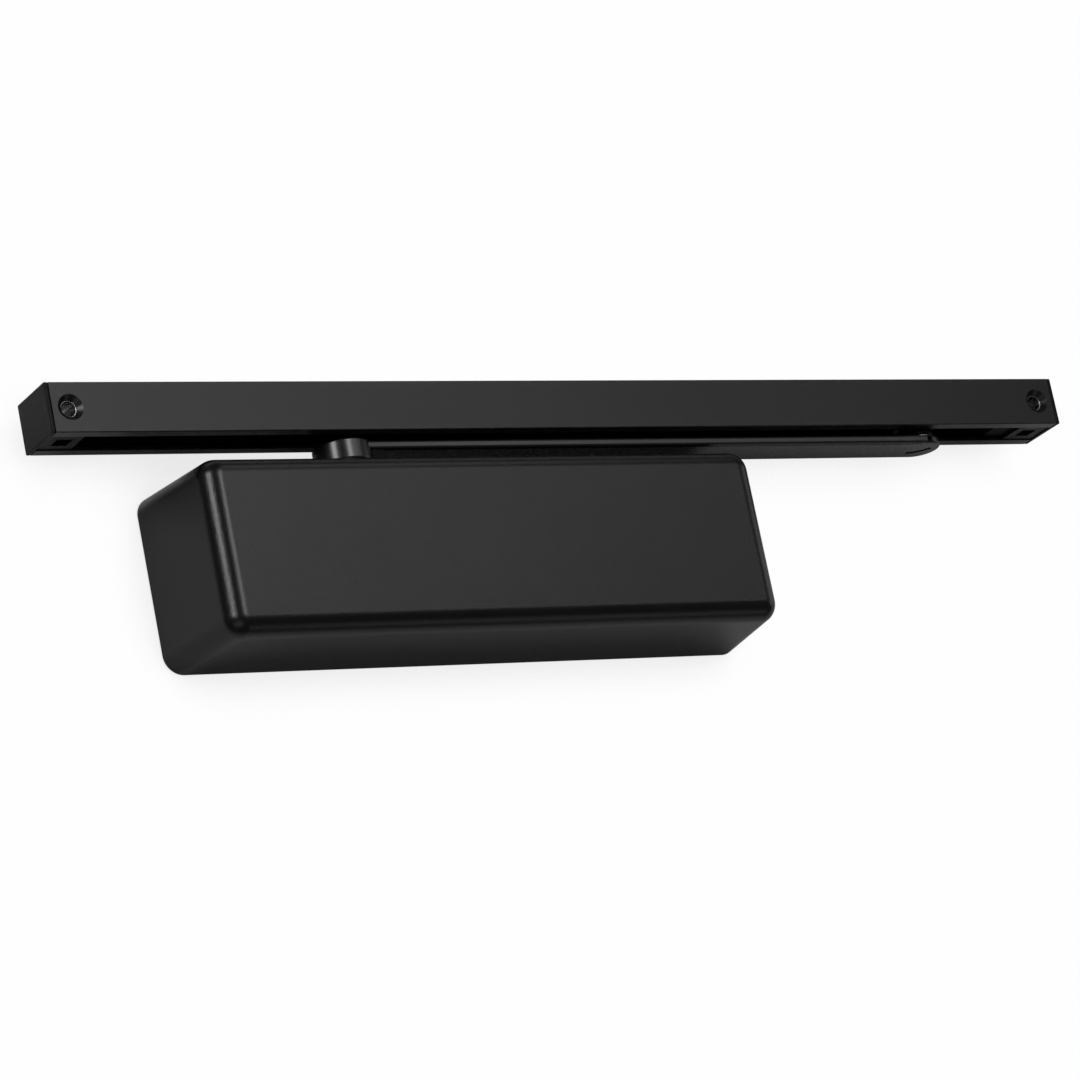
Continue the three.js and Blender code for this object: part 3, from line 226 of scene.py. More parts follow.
def loft(name, rings, closed=False):
    """Rings of equal length joined in order. The last meets the first, or both get a flat face."""
    count = len(rings[0])
    verts = [v for points in rings for v in points]
    faces = []
    for r in range(len(rings) if closed else len(rings) - 1):
        a, b = r * count, (r + 1) % len(rings) * count
        for k in range(count):
            j = (k + 1) % count
            faces.append((a + k, a + j, b + j, b + k))
    if not closed:
        faces.append(tuple(range(count))[::-1])
        faces.append(tuple(range((len(rings) - 1) * count, len(rings) * count)))
    return new_object(name, verts, faces)


def tube(name, path, radius, sides, closed=False):
    """A round wire along a path round the bore, with flat ends unless it closes on itself."""
    points = [Vector(p) for p in path]
    count = len(points)
    rings = []
    for i, p in enumerate(points):
        before = points[i - 1] if i or closed else p
        after = points[(i + 1) % count] if i < count - 1 or closed else p
        along = (after - before).normalized()
        radial = p - Vector(ON_BORE)
        radial.x = 0
        side = radial.normalized()
        side = (side - along * side.dot(along)).normalized()
        other = along.cross(side)
        rings.append([tuple(p + (side * math.cos(2 * math.pi * k / sides)
                                 + other * math.sin(2 * math.pi * k / sides)) * radius)
                      for k in range(sides)])
    return loft(name, rings, closed)


def bake_modifiers(obj):
    """Turns the object's modifiers into its mesh."""
    graph = bpy.context.evaluated_depsgraph_get()
    mesh = bpy.data.meshes.new_from_object(obj.evaluated_get(graph))
    old = obj.data
    obj.modifiers.clear()
    obj.data = mesh
    bpy.data.meshes.remove(old)
    mesh.name = obj.name
    return obj


def combine(obj, others, operation):
    for other in others:
        modifier = obj.modifiers.new("join", "BOOLEAN")
        modifier.operation = operation
        modifier.solver = "EXACT"
        modifier.object = other
    bake_modifiers(obj)
    for other in others:
        mesh = other.data
        bpy.data.objects.remove(other)
        bpy.data.meshes.remove(mesh)
    return obj


def cut(obj, *cutters):
    return combine(obj, cutters, "DIFFERENCE")


def unite(obj, *others):
    return combine(obj, others, "UNION")


def soften(obj, width, segments, angle):
    """Rounds every edge sharper than angle degrees by width millimetres."""
    work = bmesh.new()
    work.from_mesh(obj.data)
    bmesh.ops.remove_doubles(work, verts=work.verts, dist=SAME_POINT)
    bmesh.ops.dissolve_limit(work, angle_limit=math.radians(FLAT_ANGLE), verts=work.verts,
                             edges=work.edges)
    work.to_mesh(obj.data)
    work.free()
    modifier = obj.modifiers.new("edges", "BEVEL")
    modifier.width = width * MM
    modifier.segments = segments
    modifier.limit_method = "ANGLE"
    modifier.angle_limit = math.radians(angle)
    modifier.use_clamp_overlap = True
    modifier.miter_outer = "MITER_ARC"
    return bake_modifiers(obj)


def dress(obj, node, angle=32):
    """Makes the object the look of one CAD node, shaded smooth up to edges sharper than angle."""
    mesh = obj.data
    mesh.polygons.foreach_set("use_smooth", [True] * len(mesh.polygons))
    mesh.set_sharp_from_angle(angle=math.radians(angle))
    modifier = obj.modifiers.new("normals", "WEIGHTED_NORMAL")
    modifier.keep_sharp = True
    bake_modifiers(obj)
    obj.name = node + "_look"
    obj.data.name = obj.name
    obj.data.materials.clear()
    obj.data.materials.append(MATERIALS[SLOT_OF[node]])
    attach(obj, BODY_OF[node])
    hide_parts(node)


# ---- materials

NOISE_LOW, NOISE_HIGH = 0.3, 0.7          # most of a noise texture's values lie between these
COLOR_A, COLOR_B, COLOR_RESULT = 6, 7, 2  # the Mix node's sockets for colours
VALUE_A, VALUE_B, VALUE_RESULT = 2, 3, 0  # and for plain values


class Graph:
    """A node tree, with short calls to add nodes, to set their inputs and to link them."""

    def __init__(self, owner):
        owner.use_nodes = True
        self.tree = owner.node_tree

    def node(self, kind, **inputs):
        made = self.tree.nodes.new("ShaderNode" + kind)
        for name, value in inputs.items():
            made.inputs[name.replace("_", " ")].default_value = value
        return made

    def link(self, source, target):
        self.tree.links.new(source, target)

    def math(self, operation, a, b):
        made = self.node("Math")
        made.operation = operation
        self.link(a, made.inputs[0])
        self.link(b, made.inputs[1])
        return made.outputs["Value"]

    def mix_shaders(self, factor, at_zero, at_one):
        made = self.node("MixShader")
        self.link(factor, made.inputs["Fac"])
        self.link(at_zero, made.inputs[1])
        self.link(at_one, made.inputs[2])
        return made.outputs["Shader"]


class Surface(Graph):
    """A Principled material whose variation is drawn from noise in the object's own space."""

    def __init__(self, name, color, roughness, metallic=0.0, specular=0.5):
        self.material = bpy.data.materials.new(name)
        super().__init__(self.material)
        self.shader = self.tree.nodes["Principled BSDF"]
        self.color = color
        self.roughness = roughness
        self.shader.inputs["Base Color"].default_value = (*color, 1)
        self.shader.inputs["Roughness"].default_value = roughness
        self.shader.inputs["Metallic"].default_value = metallic
        self.shader.inputs["Specular IOR Level"].default_value = specular
        self.space = self.node("TexCoord").outputs["Object"]
        self.height = None

    def stretched(self, scale):
        mapping = self.node("Mapping", Scale=scale)
        self.link(self.space, mapping.inputs["Vector"])
        return mapping.outputs["Vector"]

    def noise(self, scale, detail=2.0, stretch=None, rough=0.5):
        """Noise from 0 to 1; scale is in features per metre."""
        made = self.node("TexNoise", Scale=scale, Detail=detail, Roughness=rough)
        self.link(self.stretched(stretch) if stretch else self.space, made.inputs["Vector"])
        return made.outputs["Fac"]

    def ramp(self, value, low, high, to_low=0.0, to_high=1.0):
        made = self.node("MapRange", From_Min=low, From_Max=high, To_Min=to_low, To_Max=to_high)
        self.link(value, made.inputs["Value"])
        return made.outputs["Result"]

    def mix_colors(self, factor, a, b):
        made = self.node("Mix")
        made.data_type = "RGBA"
        self.link(factor, made.inputs["Factor"])
        for socket, value in ((made.inputs[COLOR_A], a), (made.inputs[COLOR_B], b)):
            if isinstance(value, tuple):
                socket.default_value = (*value, 1)
            else:
                self.link(value, socket)
        return made.outputs[COLOR_RESULT]

    def vary_color(self, spread, scale, tint=(1.0, 1.0, 1.0), detail=3.0, stretch=None):
        """Lets the colour drift by the given share round its mean."""
        drift = self.ramp(self.noise(scale, detail, stretch), NOISE_LOW, NOISE_HIGH)
        low = tuple(c * (1 - spread) for c in self.color)
        high = tuple(c * (1 + spread) * t for c, t in zip(self.color, tint))
        self.paint(self.mix_colors(drift, low, high))

    def paint(self, color):
        self.painted = color
        self.link(color, self.shader.inputs["Base Color"])

    def vary_roughness(self, spread, scale, detail=2.0, stretch=None):
        value = self.ramp(self.noise(scale, detail, stretch), NOISE_LOW, NOISE_HIGH,
                          self.roughness - spread, self.roughness + spread)
        self.set_roughness(value)

    def set_roughness(self, value):
        self.rough = value
        self.link(value, self.shader.inputs["Roughness"])

    def bump(self, value, distance_mm):
        made = self.node("Bump", Distance=distance_mm * MM, Strength=1.0)
        self.link(value, made.inputs["Height"])
        if self.height is not None:
            self.link(self.height, made.inputs["Normal"])
        self.height = made.outputs["Normal"]
        self.link(self.height, self.shader.inputs["Normal"])

    def worn_edges(self, color, roughness, low=0.53, high=0.60, patch=160.0):
        """A second colour and roughness on the convex edges, broken up by noise."""
        edge = self.ramp(self.node("NewGeometry").outputs["Pointiness"], low, high)
        patchy = self.ramp(self.noise(patch, detail=4.0), low=0.42, high=0.62)
        mask = self.math("MULTIPLY", edge, patchy)
        self.paint(self.mix_colors(mask, self.painted, color))
        blended = self.node("Mix")
        self.link(mask, blended.inputs["Factor"])
        self.link(self.rough, blended.inputs[VALUE_A])
        blended.inputs[VALUE_B].default_value = roughness
        self.set_roughness(blended.outputs[VALUE_RESULT])


def powder_coat():
    s = Surface("powder_coat", (0.0060, 0.0060, 0.0062), 0.26)
    s.vary_color(0.16, 60.0, (1.0, 1.0, 1.02))
    s.vary_roughness(0.012, 40.0)
    s.bump(s.noise(700.0, 2.0), 0.060)
    s.bump(s.noise(1400.0, 3.0, rough=0.65), 0.060)
    s.worn_edges((0.010, 0.010, 0.0105), 0.24)
    return s.material


def black_anodised():
    s = Surface("black_anodised", (0.0070, 0.0070, 0.0074), 0.30)
    s.vary_color(0.18, 25.0, (1.0, 0.99, 0.96), stretch=(0.25, 3.0, 3.0))
    s.vary_roughness(0.015, 90.0, stretch=(0.2, 6.0, 6.0))
    s.bump(s.noise(900.0, 2.0, (0.012, 1.0, 1.0)), 0.00035)
    s.bump(s.noise(2600.0, 2.0), 0.0014)
    s.worn_edges((0.03, 0.03, 0.032), 0.28)
    return s.material


def black_steel():
    s = Surface("black_steel", (0.0090, 0.0090, 0.0092), 0.27, specular=0.75)
    s.vary_color(0.2, 70.0, (1.0, 1.0, 0.98))
    s.vary_roughness(0.02, 120.0)
    s.bump(s.noise(260.0, 2.0), 0.0010)
    s.bump(s.noise(1800.0, 2.0), 0.0008)
    s.worn_edges((0.05, 0.05, 0.052), 0.25)
    return s.material


def black_plastic():
    s = Surface("black_plastic", (0.006, 0.006, 0.006), 0.38, specular=0.12)
    s.vary_color(0.15, 120.0)
    s.vary_roughness(0.05, 400.0)
    s.bump(s.noise(2200.0, 2.0), 0.0025)
    s.bump(s.noise(180.0, 1.0), 0.004)
    s.worn_edges((0.018, 0.018, 0.018), 0.30)
    return s.material


def rubber():
    s = Surface("rubber", (0.009, 0.009, 0.009), 0.70, specular=0.15)
    s.vary_color(0.25, 200.0)
    s.vary_roughness(0.06, 500.0)
    s.bump(s.noise(1400.0, 3.0), 0.02)
    return s.material


def cast_iron():
    s = Surface("cast_iron", (0.040, 0.041, 0.043), 0.55, metallic=0.25)
    s.vary_color(0.35, 90.0, (1.04, 1.0, 0.94), 6.0)
    s.vary_roughness(0.10, 260.0, 4.0)
    s.bump(s.noise(420.0, 4.0, rough=0.6), 0.16)
    s.bump(s.noise(1700.0, 3.0), 0.05)
    s.worn_edges((0.20, 0.20, 0.21), 0.42, low=0.54, high=0.64)
    return s.material


def turned_metal(name, color, roughness, stretch, wear):
    """Bright metal with fine tool marks and smoother, brighter edges."""
    s = Surface(name, color, roughness, metallic=1.0)
    s.vary_color(0.10, 140.0, (1.0, 0.99, 0.97), 4.0)
    s.vary_roughness(0.07, 350.0, 3.0, stretch)
    s.bump(s.noise(1200.0, 3.0, stretch), 0.0025)
    s.bump(s.noise(260.0, 2.0), 0.002)
    s.worn_edges(wear, roughness - 0.08)
    return s.material


def steel():
    return turned_metal("steel", (0.36, 0.365, 0.37), 0.30, stretch=(1.0, 1.0, 0.15),
                        wear=(0.50, 0.50, 0.51))


def spring_steel():
    return turned_metal("spring_steel", (0.16, 0.165, 0.175), 0.33, stretch=(0.2, 1.0, 1.0),
                        wear=(0.32, 0.32, 0.33))


def brass():
    return turned_metal("brass", (0.60, 0.43, 0.18), 0.26, stretch=(1.0, 1.0, 0.15),
                        wear=(0.80, 0.62, 0.30))


MATERIALS = {make.__name__: make() for make in (
    powder_coat, black_anodised, black_steel, black_plastic, rubber, cast_iron, steel, spring_steel,
    brass)}

for node, obj in frame["nodes"].items():
    for place in obj.material_slots:
        place.material = MATERIALS[SLOT_OF[node]]

# ---- cover


def cover_ring(inset, depth, corner_steps=14, edge_steps=6):
    """The cover's outline, set in by inset at a depth in front of the back, with the draft on it."""
    half_x, half_z = COVER_LENGTH / 2 - inset, COVER_HEIGHT / 2 - inset
    r = COVER_CORNER - inset
    lean = depth / COVER_DEPTH
    kx = 1 - lean * COVER_END_DRAFT / (COVER_LENGTH / 2)
    kz = 1 - lean * COVER_SIDE_DRAFT / (COVER_HEIGHT / 2)
    corners = [(half_x - r, -half_z + r, -90), (half_x - r, half_z - r, 0),
               (-half_x + r, half_z - r, 90), (-half_x + r, -half_z + r, 180)]
    bends = [arc(cx, cz, r, start, start + 90, corner_steps) for cx, cz, start in corners]
    points = []
    for i, bend in enumerate(bends):
        points += bend
        (x0, z0), (x1, z1) = bend[-1], bends[(i + 1) % len(bends)][0]
        for k in range(1, edge_steps):
            t = k / edge_steps
            points.append((x0 * (1 - t) + x1 * t, z0 * (1 - t) + z1 * t))
    return [(x * kx, -depth, z * kz) for x, z in points]


def cover_shell(inset, steps):
    """Rings from near the back edge to the flat front, for the outside or the inside."""
    front, fillet = COVER_DEPTH - inset, COVER_FILLET - inset
    wall_depths = (6.0, 20.0, 36.0, front - fillet)
    rings = [cover_ring(inset, depth) for depth in wall_depths]
    for k in range(1, steps + 1):
        t = math.pi / 2 * k / steps
        rings.append(cover_ring(inset + fillet * (1 - math.cos(t)), front - fillet * (1 - math.sin(t))))
    return rings


def cover_rim(inset, outward, steps=4):
    """Rings round one rounded corner of the back edge; outward is -1 for the outer corner."""
    lip = 0.5
    turns = [math.pi / 2 * k / steps for k in range(steps + 1)]
    return [cover_ring(inset - outward * lip * (1 - math.sin(t)), lip * (1 - math.cos(t))) for t in turns]


def make_cover():
    outer = cover_rim(0.0, -1) + cover_shell(0.0, 18)
    inner = cover_rim(COVER_WALL, 1) + cover_shell(COVER_WALL, 10)
    obj = loft("cover", outer[::-1] + inner)
    slot_half, low, high, back = 17.0, 34.0, 50.0, 6.0
    cut(obj, unite(rod("slot", "z", slot_half, low, high, AT_SPINDLE, 128),
                   box("slot_way", SPINDLE_X - slot_half, SPINDLE_X + slot_half, AXIS_Y, back, low, high)))
    return soften(obj, 0.3, 2, 50)


dress(make_cover(), "cover", 40)

# ---- track


def make_channel():
    half_slot, half_inside = 8.8, 12.6
    outline = [
        (TRACK_FRONT, TRACK_BOTTOM), (AXIS_Y - half_slot, TRACK_BOTTOM),
        (AXIS_Y - half_slot, CHANNEL_FLOOR), (AXIS_Y - half_inside, CHANNEL_FLOOR),
        (AXIS_Y - half_inside, CHANNEL_ROOF), (AXIS_Y + half_inside, CHANNEL_ROOF),
        (AXIS_Y + half_inside, CHANNEL_FLOOR), (AXIS_Y + half_slot, CHANNEL_FLOOR),
        (AXIS_Y + half_slot, TRACK_BOTTOM), (TRACK_BACK, TRACK_BOTTOM),
        (TRACK_BACK, TRACK_TOP), (TRACK_FRONT, TRACK_TOP),
    ]
    radii = [0.5, 0.45, 0.45, 0.5, 0.8, 0.8, 0.5, 0.45, 0.45, 0.5, 0.5, 0.5]
    obj = extrude("channel", rounded(outline, radii, 4), "x", CHANNEL_LEFT, CHANNEL_RIGHT)
    hole_radius, over = 4.0, 1.0
    sink_depth = SINK_RADIUS - hole_radius
    drill = [(0, TRACK_FRONT - over), (SINK_RADIUS + over, TRACK_FRONT - over),
             (SINK_RADIUS, TRACK_FRONT), (hole_radius, TRACK_FRONT + sink_depth),
             (hole_radius, TRACK_BACK + over), (0, TRACK_BACK + over)]
    cut(obj, *[revolve("drill", drill, (x, 0, TRACK_MID_Z), "y", 72) for x in HOLE_X.values()])
    return soften(obj, 0.18, 2, 38)


dress(make_channel(), "track_channel", 35)


def make_cap(side):
    thickness, peg_radius, peg_length, peg_root = 2.0, 1.2, 6.0, 0.8
    outer = TRACK_LEFT if side < 0 else TRACK_RIGHT
    face = outer - side * thickness
    outline = rounded(rectangle(TRACK_FRONT, TRACK_BACK, TRACK_BOTTOM, TRACK_TOP), 0.6, 4)
    obj = soften(extrude("cap", outline, "x", min(outer, face), max(outer, face)), 0.45, 3, 50)
    low, high = sorted((face + side * peg_root, face - side * peg_length))
    peg = rounded(rectangle(0, peg_radius, low, high), [0, 0.3, 0.3, 0], 3)
    return unite(obj, *[revolve("peg", peg, (0, AXIS_Y + dy, TRACK_MID_Z + dz), "x", 24)
                        for dy, dz in PEG_PLACES])


def make_block(word, side):
    outside = CHANNEL_LEFT if side < 0 else CHANNEL_RIGHT
    x0, x1 = sorted((outside, outside - side * BLOCK_LENGTH))
    obj = box("block", x0, x1, AXIS_Y - BLOCK_HALF_DEPTH, AXIS_Y + BLOCK_HALF_DEPTH,
              CHANNEL_FLOOR + BLOCK_GAP, CHANNEL_ROOF - BLOCK_GAP)
    foot_half, foot_low, foot_high = 8.5, TRACK_BOTTOM + 0.6, CHANNEL_FLOOR + 1
    unite(obj, box("foot", x0, x1, AXIS_Y - foot_half, AXIS_Y + foot_half, foot_low, foot_high))
    x, pocket_half, pocket_depth = HOLE_X[word], 4, 3
    socket_radius, socket_depth = 1.5, 7
    low, high = sorted((outside + side, outside - side * socket_depth))
    cut(obj, rod("bore", "y", SINK_RADIUS, TRACK_FRONT, TRACK_BACK, (x, 0, TRACK_MID_Z), 64),
        box("pocket", x - pocket_half, x + pocket_half, AXIS_Y - pocket_half, AXIS_Y + pocket_half,
            TRACK_BOTTOM - 1, TRACK_BOTTOM + pocket_depth),
        *[rod("socket", "x", socket_radius, low, high, (0, AXIS_Y + dy, TRACK_MID_Z + dz), 20)
          for dy, dz in PEG_PLACES])
    return soften(obj, 0.5, 3, 50)


def make_sleeve(word):
    bore, radius, front, back = 3.5, 6.0, AXIS_Y - BLOCK_HALF_DEPTH, AXIS_Y + BLOCK_HALF_DEPTH
    return ring("sleeve", "y", bore, radius, front, back, 0.4, (HOLE_X[word], 0, TRACK_MID_Z))


for word, side in SIDES:
    dress(make_cap(side), "end_cap_" + word, 40)
    dress(make_block(word, side), "end_block_" + word, 40)
    dress(make_sleeve(word), "screw_sleeve_" + word)


def make_bumper():
    length, half, nose, cheek = 11.7, 12.0, 3, 4
    high = CHANNEL_RIGHT - BLOCK_LENGTH - BLOCK_GAP
    low = high - length
    outline = rounded([(low + nose, AXIS_Y - half), (high, AXIS_Y - half),
                       (high, AXIS_Y + half), (low + nose, AXIS_Y + half),
                       (low, AXIS_Y + half - cheek), (low, AXIS_Y - half + cheek)],
                      [0.8, 0.5, 0.5, 0.8, 0.8, 0.8], 4)
    return soften(extrude("bumper", outline, "z", CHANNEL_FLOOR + 0.4, CHANNEL_ROOF - 1.5), 0.6, 3, 50)


dress(make_bumper(), "track_bumper", 40)

# ---- arm


def bar_ring(inset, z, end_steps=28, side_steps=8):
    """The bar's outline, set in by inset at a height: half a circle at both ends, and two sides."""
    half = ARM_HALF_WIDTH - inset
    points = arc(ROLLER_X, AXIS_Y, half, -90, 90, end_steps)
    points += [(ROLLER_X + (SPINDLE_X - ROLLER_X) * k / side_steps, AXIS_Y + half)
               for k in range(1, side_steps)]
    points += arc(SPINDLE_X, AXIS_Y, half, 90, 270, end_steps)
    points += [(SPINDLE_X + (ROLLER_X - SPINDLE_X) * k / side_steps, AXIS_Y - half)
               for k in range(1, side_steps)]
    return [(x, y, z) for x, y in points]


def make_bar():
    edge, steps, face_inset = 1.5, 6, 4.5
    turns = [math.pi / 2 * k / steps for k in range(steps + 1)]
    corner = [(edge * (1 - math.sin(t)), edge * (1 - math.cos(t))) for t in turns]
    rings = [bar_ring(face_inset, ARM_BOTTOM)]
    rings += [bar_ring(inset, ARM_BOTTOM + rise) for inset, rise in corner]
    rings += [bar_ring(inset, ARM_TOP - rise) for inset, rise in corner[::-1]]
    rings.append(bar_ring(face_inset, ARM_TOP))
    return loft("arm", rings)


def make_arm():
    obj = make_bar()
    hub_radius, hub_low, hub_high = 14.0, 45.3, 55.9
    hub = rounded(rectangle(0, hub_radius, hub_low, hub_high), [0, 1.6, 0.8, 0], 5)
    unite(obj, revolve("hub", hub, AT_SPINDLE, segments=128))
    square_half, square_top = 6.1, 52.3
    screw_hole, recess, recess_floor = 3.6, 7.6, 53.4
    stud_hole, stud_floor = 4.3, 52.1
    groove_left, groove_right = SPINDLE_X + 17, ROLLER_X - 4
    groove_front, groove_back, groove_depth = AXIS_Y - 9.5, AXIS_Y - 8.7, 0.5
    curve_centre, curve_outer, curve_inner = (ROLLER_X - 7.5, AXIS_Y - 10.1), 15.4, 12.6
    curve_from, curve_to, curve_depth = 29, 83, 0.6
    curve = (arc(*curve_centre, curve_outer, curve_from, curve_to, 20)
             + arc(*curve_centre, curve_inner, curve_to, curve_from, 20))
    cut(obj,
        box("drive", SPINDLE_X - square_half, SPINDLE_X + square_half,
            AXIS_Y - square_half, AXIS_Y + square_half, hub_low - 1.3, square_top),
        rod("screw_hole", "z", screw_hole, 51, 56, AT_SPINDLE),
        rod("recess", "z", recess, recess_floor, 58, AT_SPINDLE),
        rod("stud_hole", "z", stud_hole, stud_floor, 57, AT_ROLLER),
        rod("pin_hole", "y", PIN_HOLE_RADIUS, AXIS_Y - 12, AXIS_Y, (ROLLER_X, 0, PIN_Z), 40),
        box("groove", groove_left, groove_right, groove_front, groove_back,
            ARM_BOTTOM - 1, ARM_BOTTOM + groove_depth),
        extrude("curved_slot", curve, "z", ARM_BOTTOM - 1, ARM_BOTTOM + curve_depth))
    return obj


def make_arm_screw():
    core, thread, head, tip, seat, top = 2.4, 3, 6, 37, 55, 57.6
    profile = [(0, tip), (core, tip), (thread, tip + 0.8), (thread, seat), (head, seat),
               (head, top - 0.7), (head - 0.7, top), (0, top)]
    edges = [0, 0.2, 0.2, 0, 0.25, 0.4, 0.5, 0]
    obj = revolve("screw", rounded(profile, edges, 3), AT_SPINDLE, segments=72)
    socket_radius, socket_floor = 2.9, 55.4
    hexagon = polygon(6, socket_radius, SPINDLE_X, AXIS_Y)
    return cut(obj, extrude("socket", hexagon, "z", socket_floor, top + 1.4))


dress(make_arm(), "arm", 40)
dress(make_arm_screw(), "arm_screw")
dress(ring("washer", "z", inner=3.4, outer=7.2, low=53.7, high=54.7, edge=0.25, centre=AT_SPINDLE),
      "arm_washer")

# ---- roller and its stud


def make_stud():
    radius, neck, low, neck_low, neck_high, high = 4, 3.2, 52.4, 71.2, 72.4, 73.2
    profile = [(0, low), (radius, low), (radius, neck_low), (neck, neck_low), (neck, neck_high),
               (radius, neck_high), (radius, high), (0, high)]
    edges = [0, 0.3, 0.1, 0.1, 0.1, 0.1, 0.35, 0]
    obj = revolve("stud", rounded(profile, edges, 3), AT_ROLLER, segments=64)
    return cut(obj, rod("pin_hole", "y", PIN_HOLE_RADIUS, -35, -31.4, (ROLLER_X, 0, PIN_Z), 32))


def make_stud_pin():
    """A rolled spring pin: a tube with a slit along it."""
    bore, radius, front, back, slit_half = 0.7, 1.3, -38.0, -31.8, 0.2
    obj = ring("pin", "y", bore, radius, front, back, 0.12, (ROLLER_X, 0, PIN_Z), 48)
    return cut(obj, box("slit", ROLLER_X, ROLLER_X + 3, front - 4, back + 1.8,
                        PIN_Z - slit_half, PIN_Z + slit_half))


def make_circlip():
    bore, radius, low, high, gap_half = 3.5, 6.4, 71.4, 72.2, 1.6
    obj = ring("circlip", "z", bore, radius, low, high, 0.15, AT_ROLLER, 72)
    return cut(obj, box("gap", ROLLER_X - gap_half, ROLLER_X + gap_half, AXIS_Y, AXIS_Y + 9,
                        low - 1.4, high + 1.8))


def make_roller():
    """The tread turns in the channel above a narrower hub that passes through the slot."""
    bore, hub, tread, low, shoulder, high = 5.9, 8.4, 11.6, 57, 61.9, 70.4
    profile = [(bore, low), (hub, low), (hub, shoulder), (tread, shoulder), (tread, high), (bore, high)]
    edges = [0.3, 0.6, 0.4, 0.8, 0.9, 0.3]
    return revolve("roller", rounded(profile, edges, 5), AT_ROLLER, segments=112, closed=True)


dress(make_stud(), "roller_stud")
dress(make_stud_pin(), "stud_pin")
dress(ring("washer", "z", BUSH_BORE, outer=8.4, low=55.9, high=56.7, edge=0.2, centre=AT_ROLLER),
      "roller_washer")
dress(make_circlip(), "roller_circlip")
dress(ring("bush", "z", BUSH_BORE, outer=5.6, low=57.0, high=71.0, edge=0.3, centre=AT_ROLLER),
      "roller_bush")
dress(make_roller(), "track_roller")

# ---- cast body


def cast(obj):
    """Remeshes and relaxes joined parts so that they blend into each other as a casting does."""
    shape = obj.modifiers.new("cast", "REMESH")
    shape.mode = "VOXEL"
    shape.voxel_size = 0.9 * MM
    relax = obj.modifiers.new("relax", "SMOOTH")
    relax.iterations = 7
    relax.factor = 0.6
    bake_modifiers(obj)
    slim = obj.modifiers.new("slim", "DECIMATE")
    slim.ratio = 0.16
    return bake_modifiers(obj)


def make_casting():
    """One casting, whose mounting face, bores and holes are machined afterwards."""
    barrel_profile = rounded(rectangle(0, BARREL, -BARREL_END, BARREL_END), [0, 1.2, 1.2, 0], 3)
    barrel = revolve("casting", barrel_profile, ON_BORE, "x", 96)
    web_half, plate_front, boss_radius, boss_rough, boss_end = 17, -10, 19, 37.5, 37.2
    tie_half, tie_inside, tie_outside = 3, 15, 33
    lug_width, lug_half, lug_corner = LUG_END - LUG_START, 36, 7
    web = box("web", -LUG_END, LUG_END, plate_front, 0, -web_half, web_half)
    boss = rod("boss", "z", boss_radius, -boss_rough, boss_rough, AT_SPINDLE, 72)
    valve_rib = box("valve_rib", 28, 126, AXIS_Y - 7, AXIS_Y + 7, 12, 33)
    ties = [box("tie", SPINDLE_X - tie_half, SPINDLE_X + tie_half, AXIS_Y, 0,
                *sorted((side * tie_inside, side * tie_outside))) for side in (-1, 1)]
    lugs = []
    for x in (-LUG_END, LUG_START):
        outline = rectangle(-lug_half, lug_half, x, x + lug_width)
        lugs.append(extrude("lug", rounded(outline, lug_corner, 6), "y", plate_front, 0))
    obj = cast(unite(barrel, web, boss, valve_rib, *ties, *lugs))

    face_x, boss_face = 140, 24
    cuts = [box("door_side", -150, 150, 0, 5, -45, 45)]
    cuts += [box("bore_end", side * face_x - 4, side * face_x + 4, AXIS_Y - 30, AXIS_Y + 19.5, -30, 30)
             for side in (-1, 1)]
    cuts += [box("boss_end", SPINDLE_X - boss_face, SPINDLE_X + boss_face,
                 AXIS_Y - boss_face, AXIS_Y + boss_face, *sorted((side * boss_end, side * 40)))
             for side in (-1, 1)]
    cuts.append(rod("bore", "x", BORE, -face_x, face_x, ON_BORE, 96))
    cuts.append(rod("spindle_bore", "z", BOSS_BORE, -42, 42, AT_SPINDLE, 72))
    valve_hole, valve_floor = 3.3, 20.4
    cuts += [rod("valve_hole", "z", valve_hole, valve_floor, 36, (x, AXIS_Y, 0), 32)
             for x in VALVE_X.values()]
    door_x, door_z, door_hole, spot_face, spot_depth = 134, 27, 3.6, 6.6, 0.4
    for side in (-1, 1):
        cuts.append(rod("clip_hole", "y", CLIP_SCREW_HOLE, -14, -3, (side * CLIP_X, 0, 0), 24))
        places = [(side * door_x, 0, z) for z in (-door_z, door_z)]
        cuts += [rod("door_hole", "y", door_hole, -14, 4, at, 40) for at in places]
        cuts += [rod("spot_face", "y", spot_face, -14, plate_front + spot_depth, at, 48) for at in places]
    return cut(obj, *cuts)


dress(make_casting(), "body_casting", 35)

# ---- cover clips and their screws


def folded_strip(name, path, thickness, bend, low, high):
    """A drawn centre line given a thickness, with its corners rounded, run along Z."""
    line = rounded(path, [0] + [bend] * (len(path) - 2) + [0], 5)
    one_side, other_side = [], []
    for i, here in enumerate(line):
        a, b = Vector(line[max(i - 1, 0)]), Vector(line[min(i + 1, len(line) - 1)])
        along = (b - a).normalized()
        across = Vector((-along.y, along.x)) * thickness / 2
        one_side.append(tuple(Vector(here) + across))
        other_side.append(tuple(Vector(here) - across))
    return extrude(name, one_side + other_side[::-1], "z", low, high)


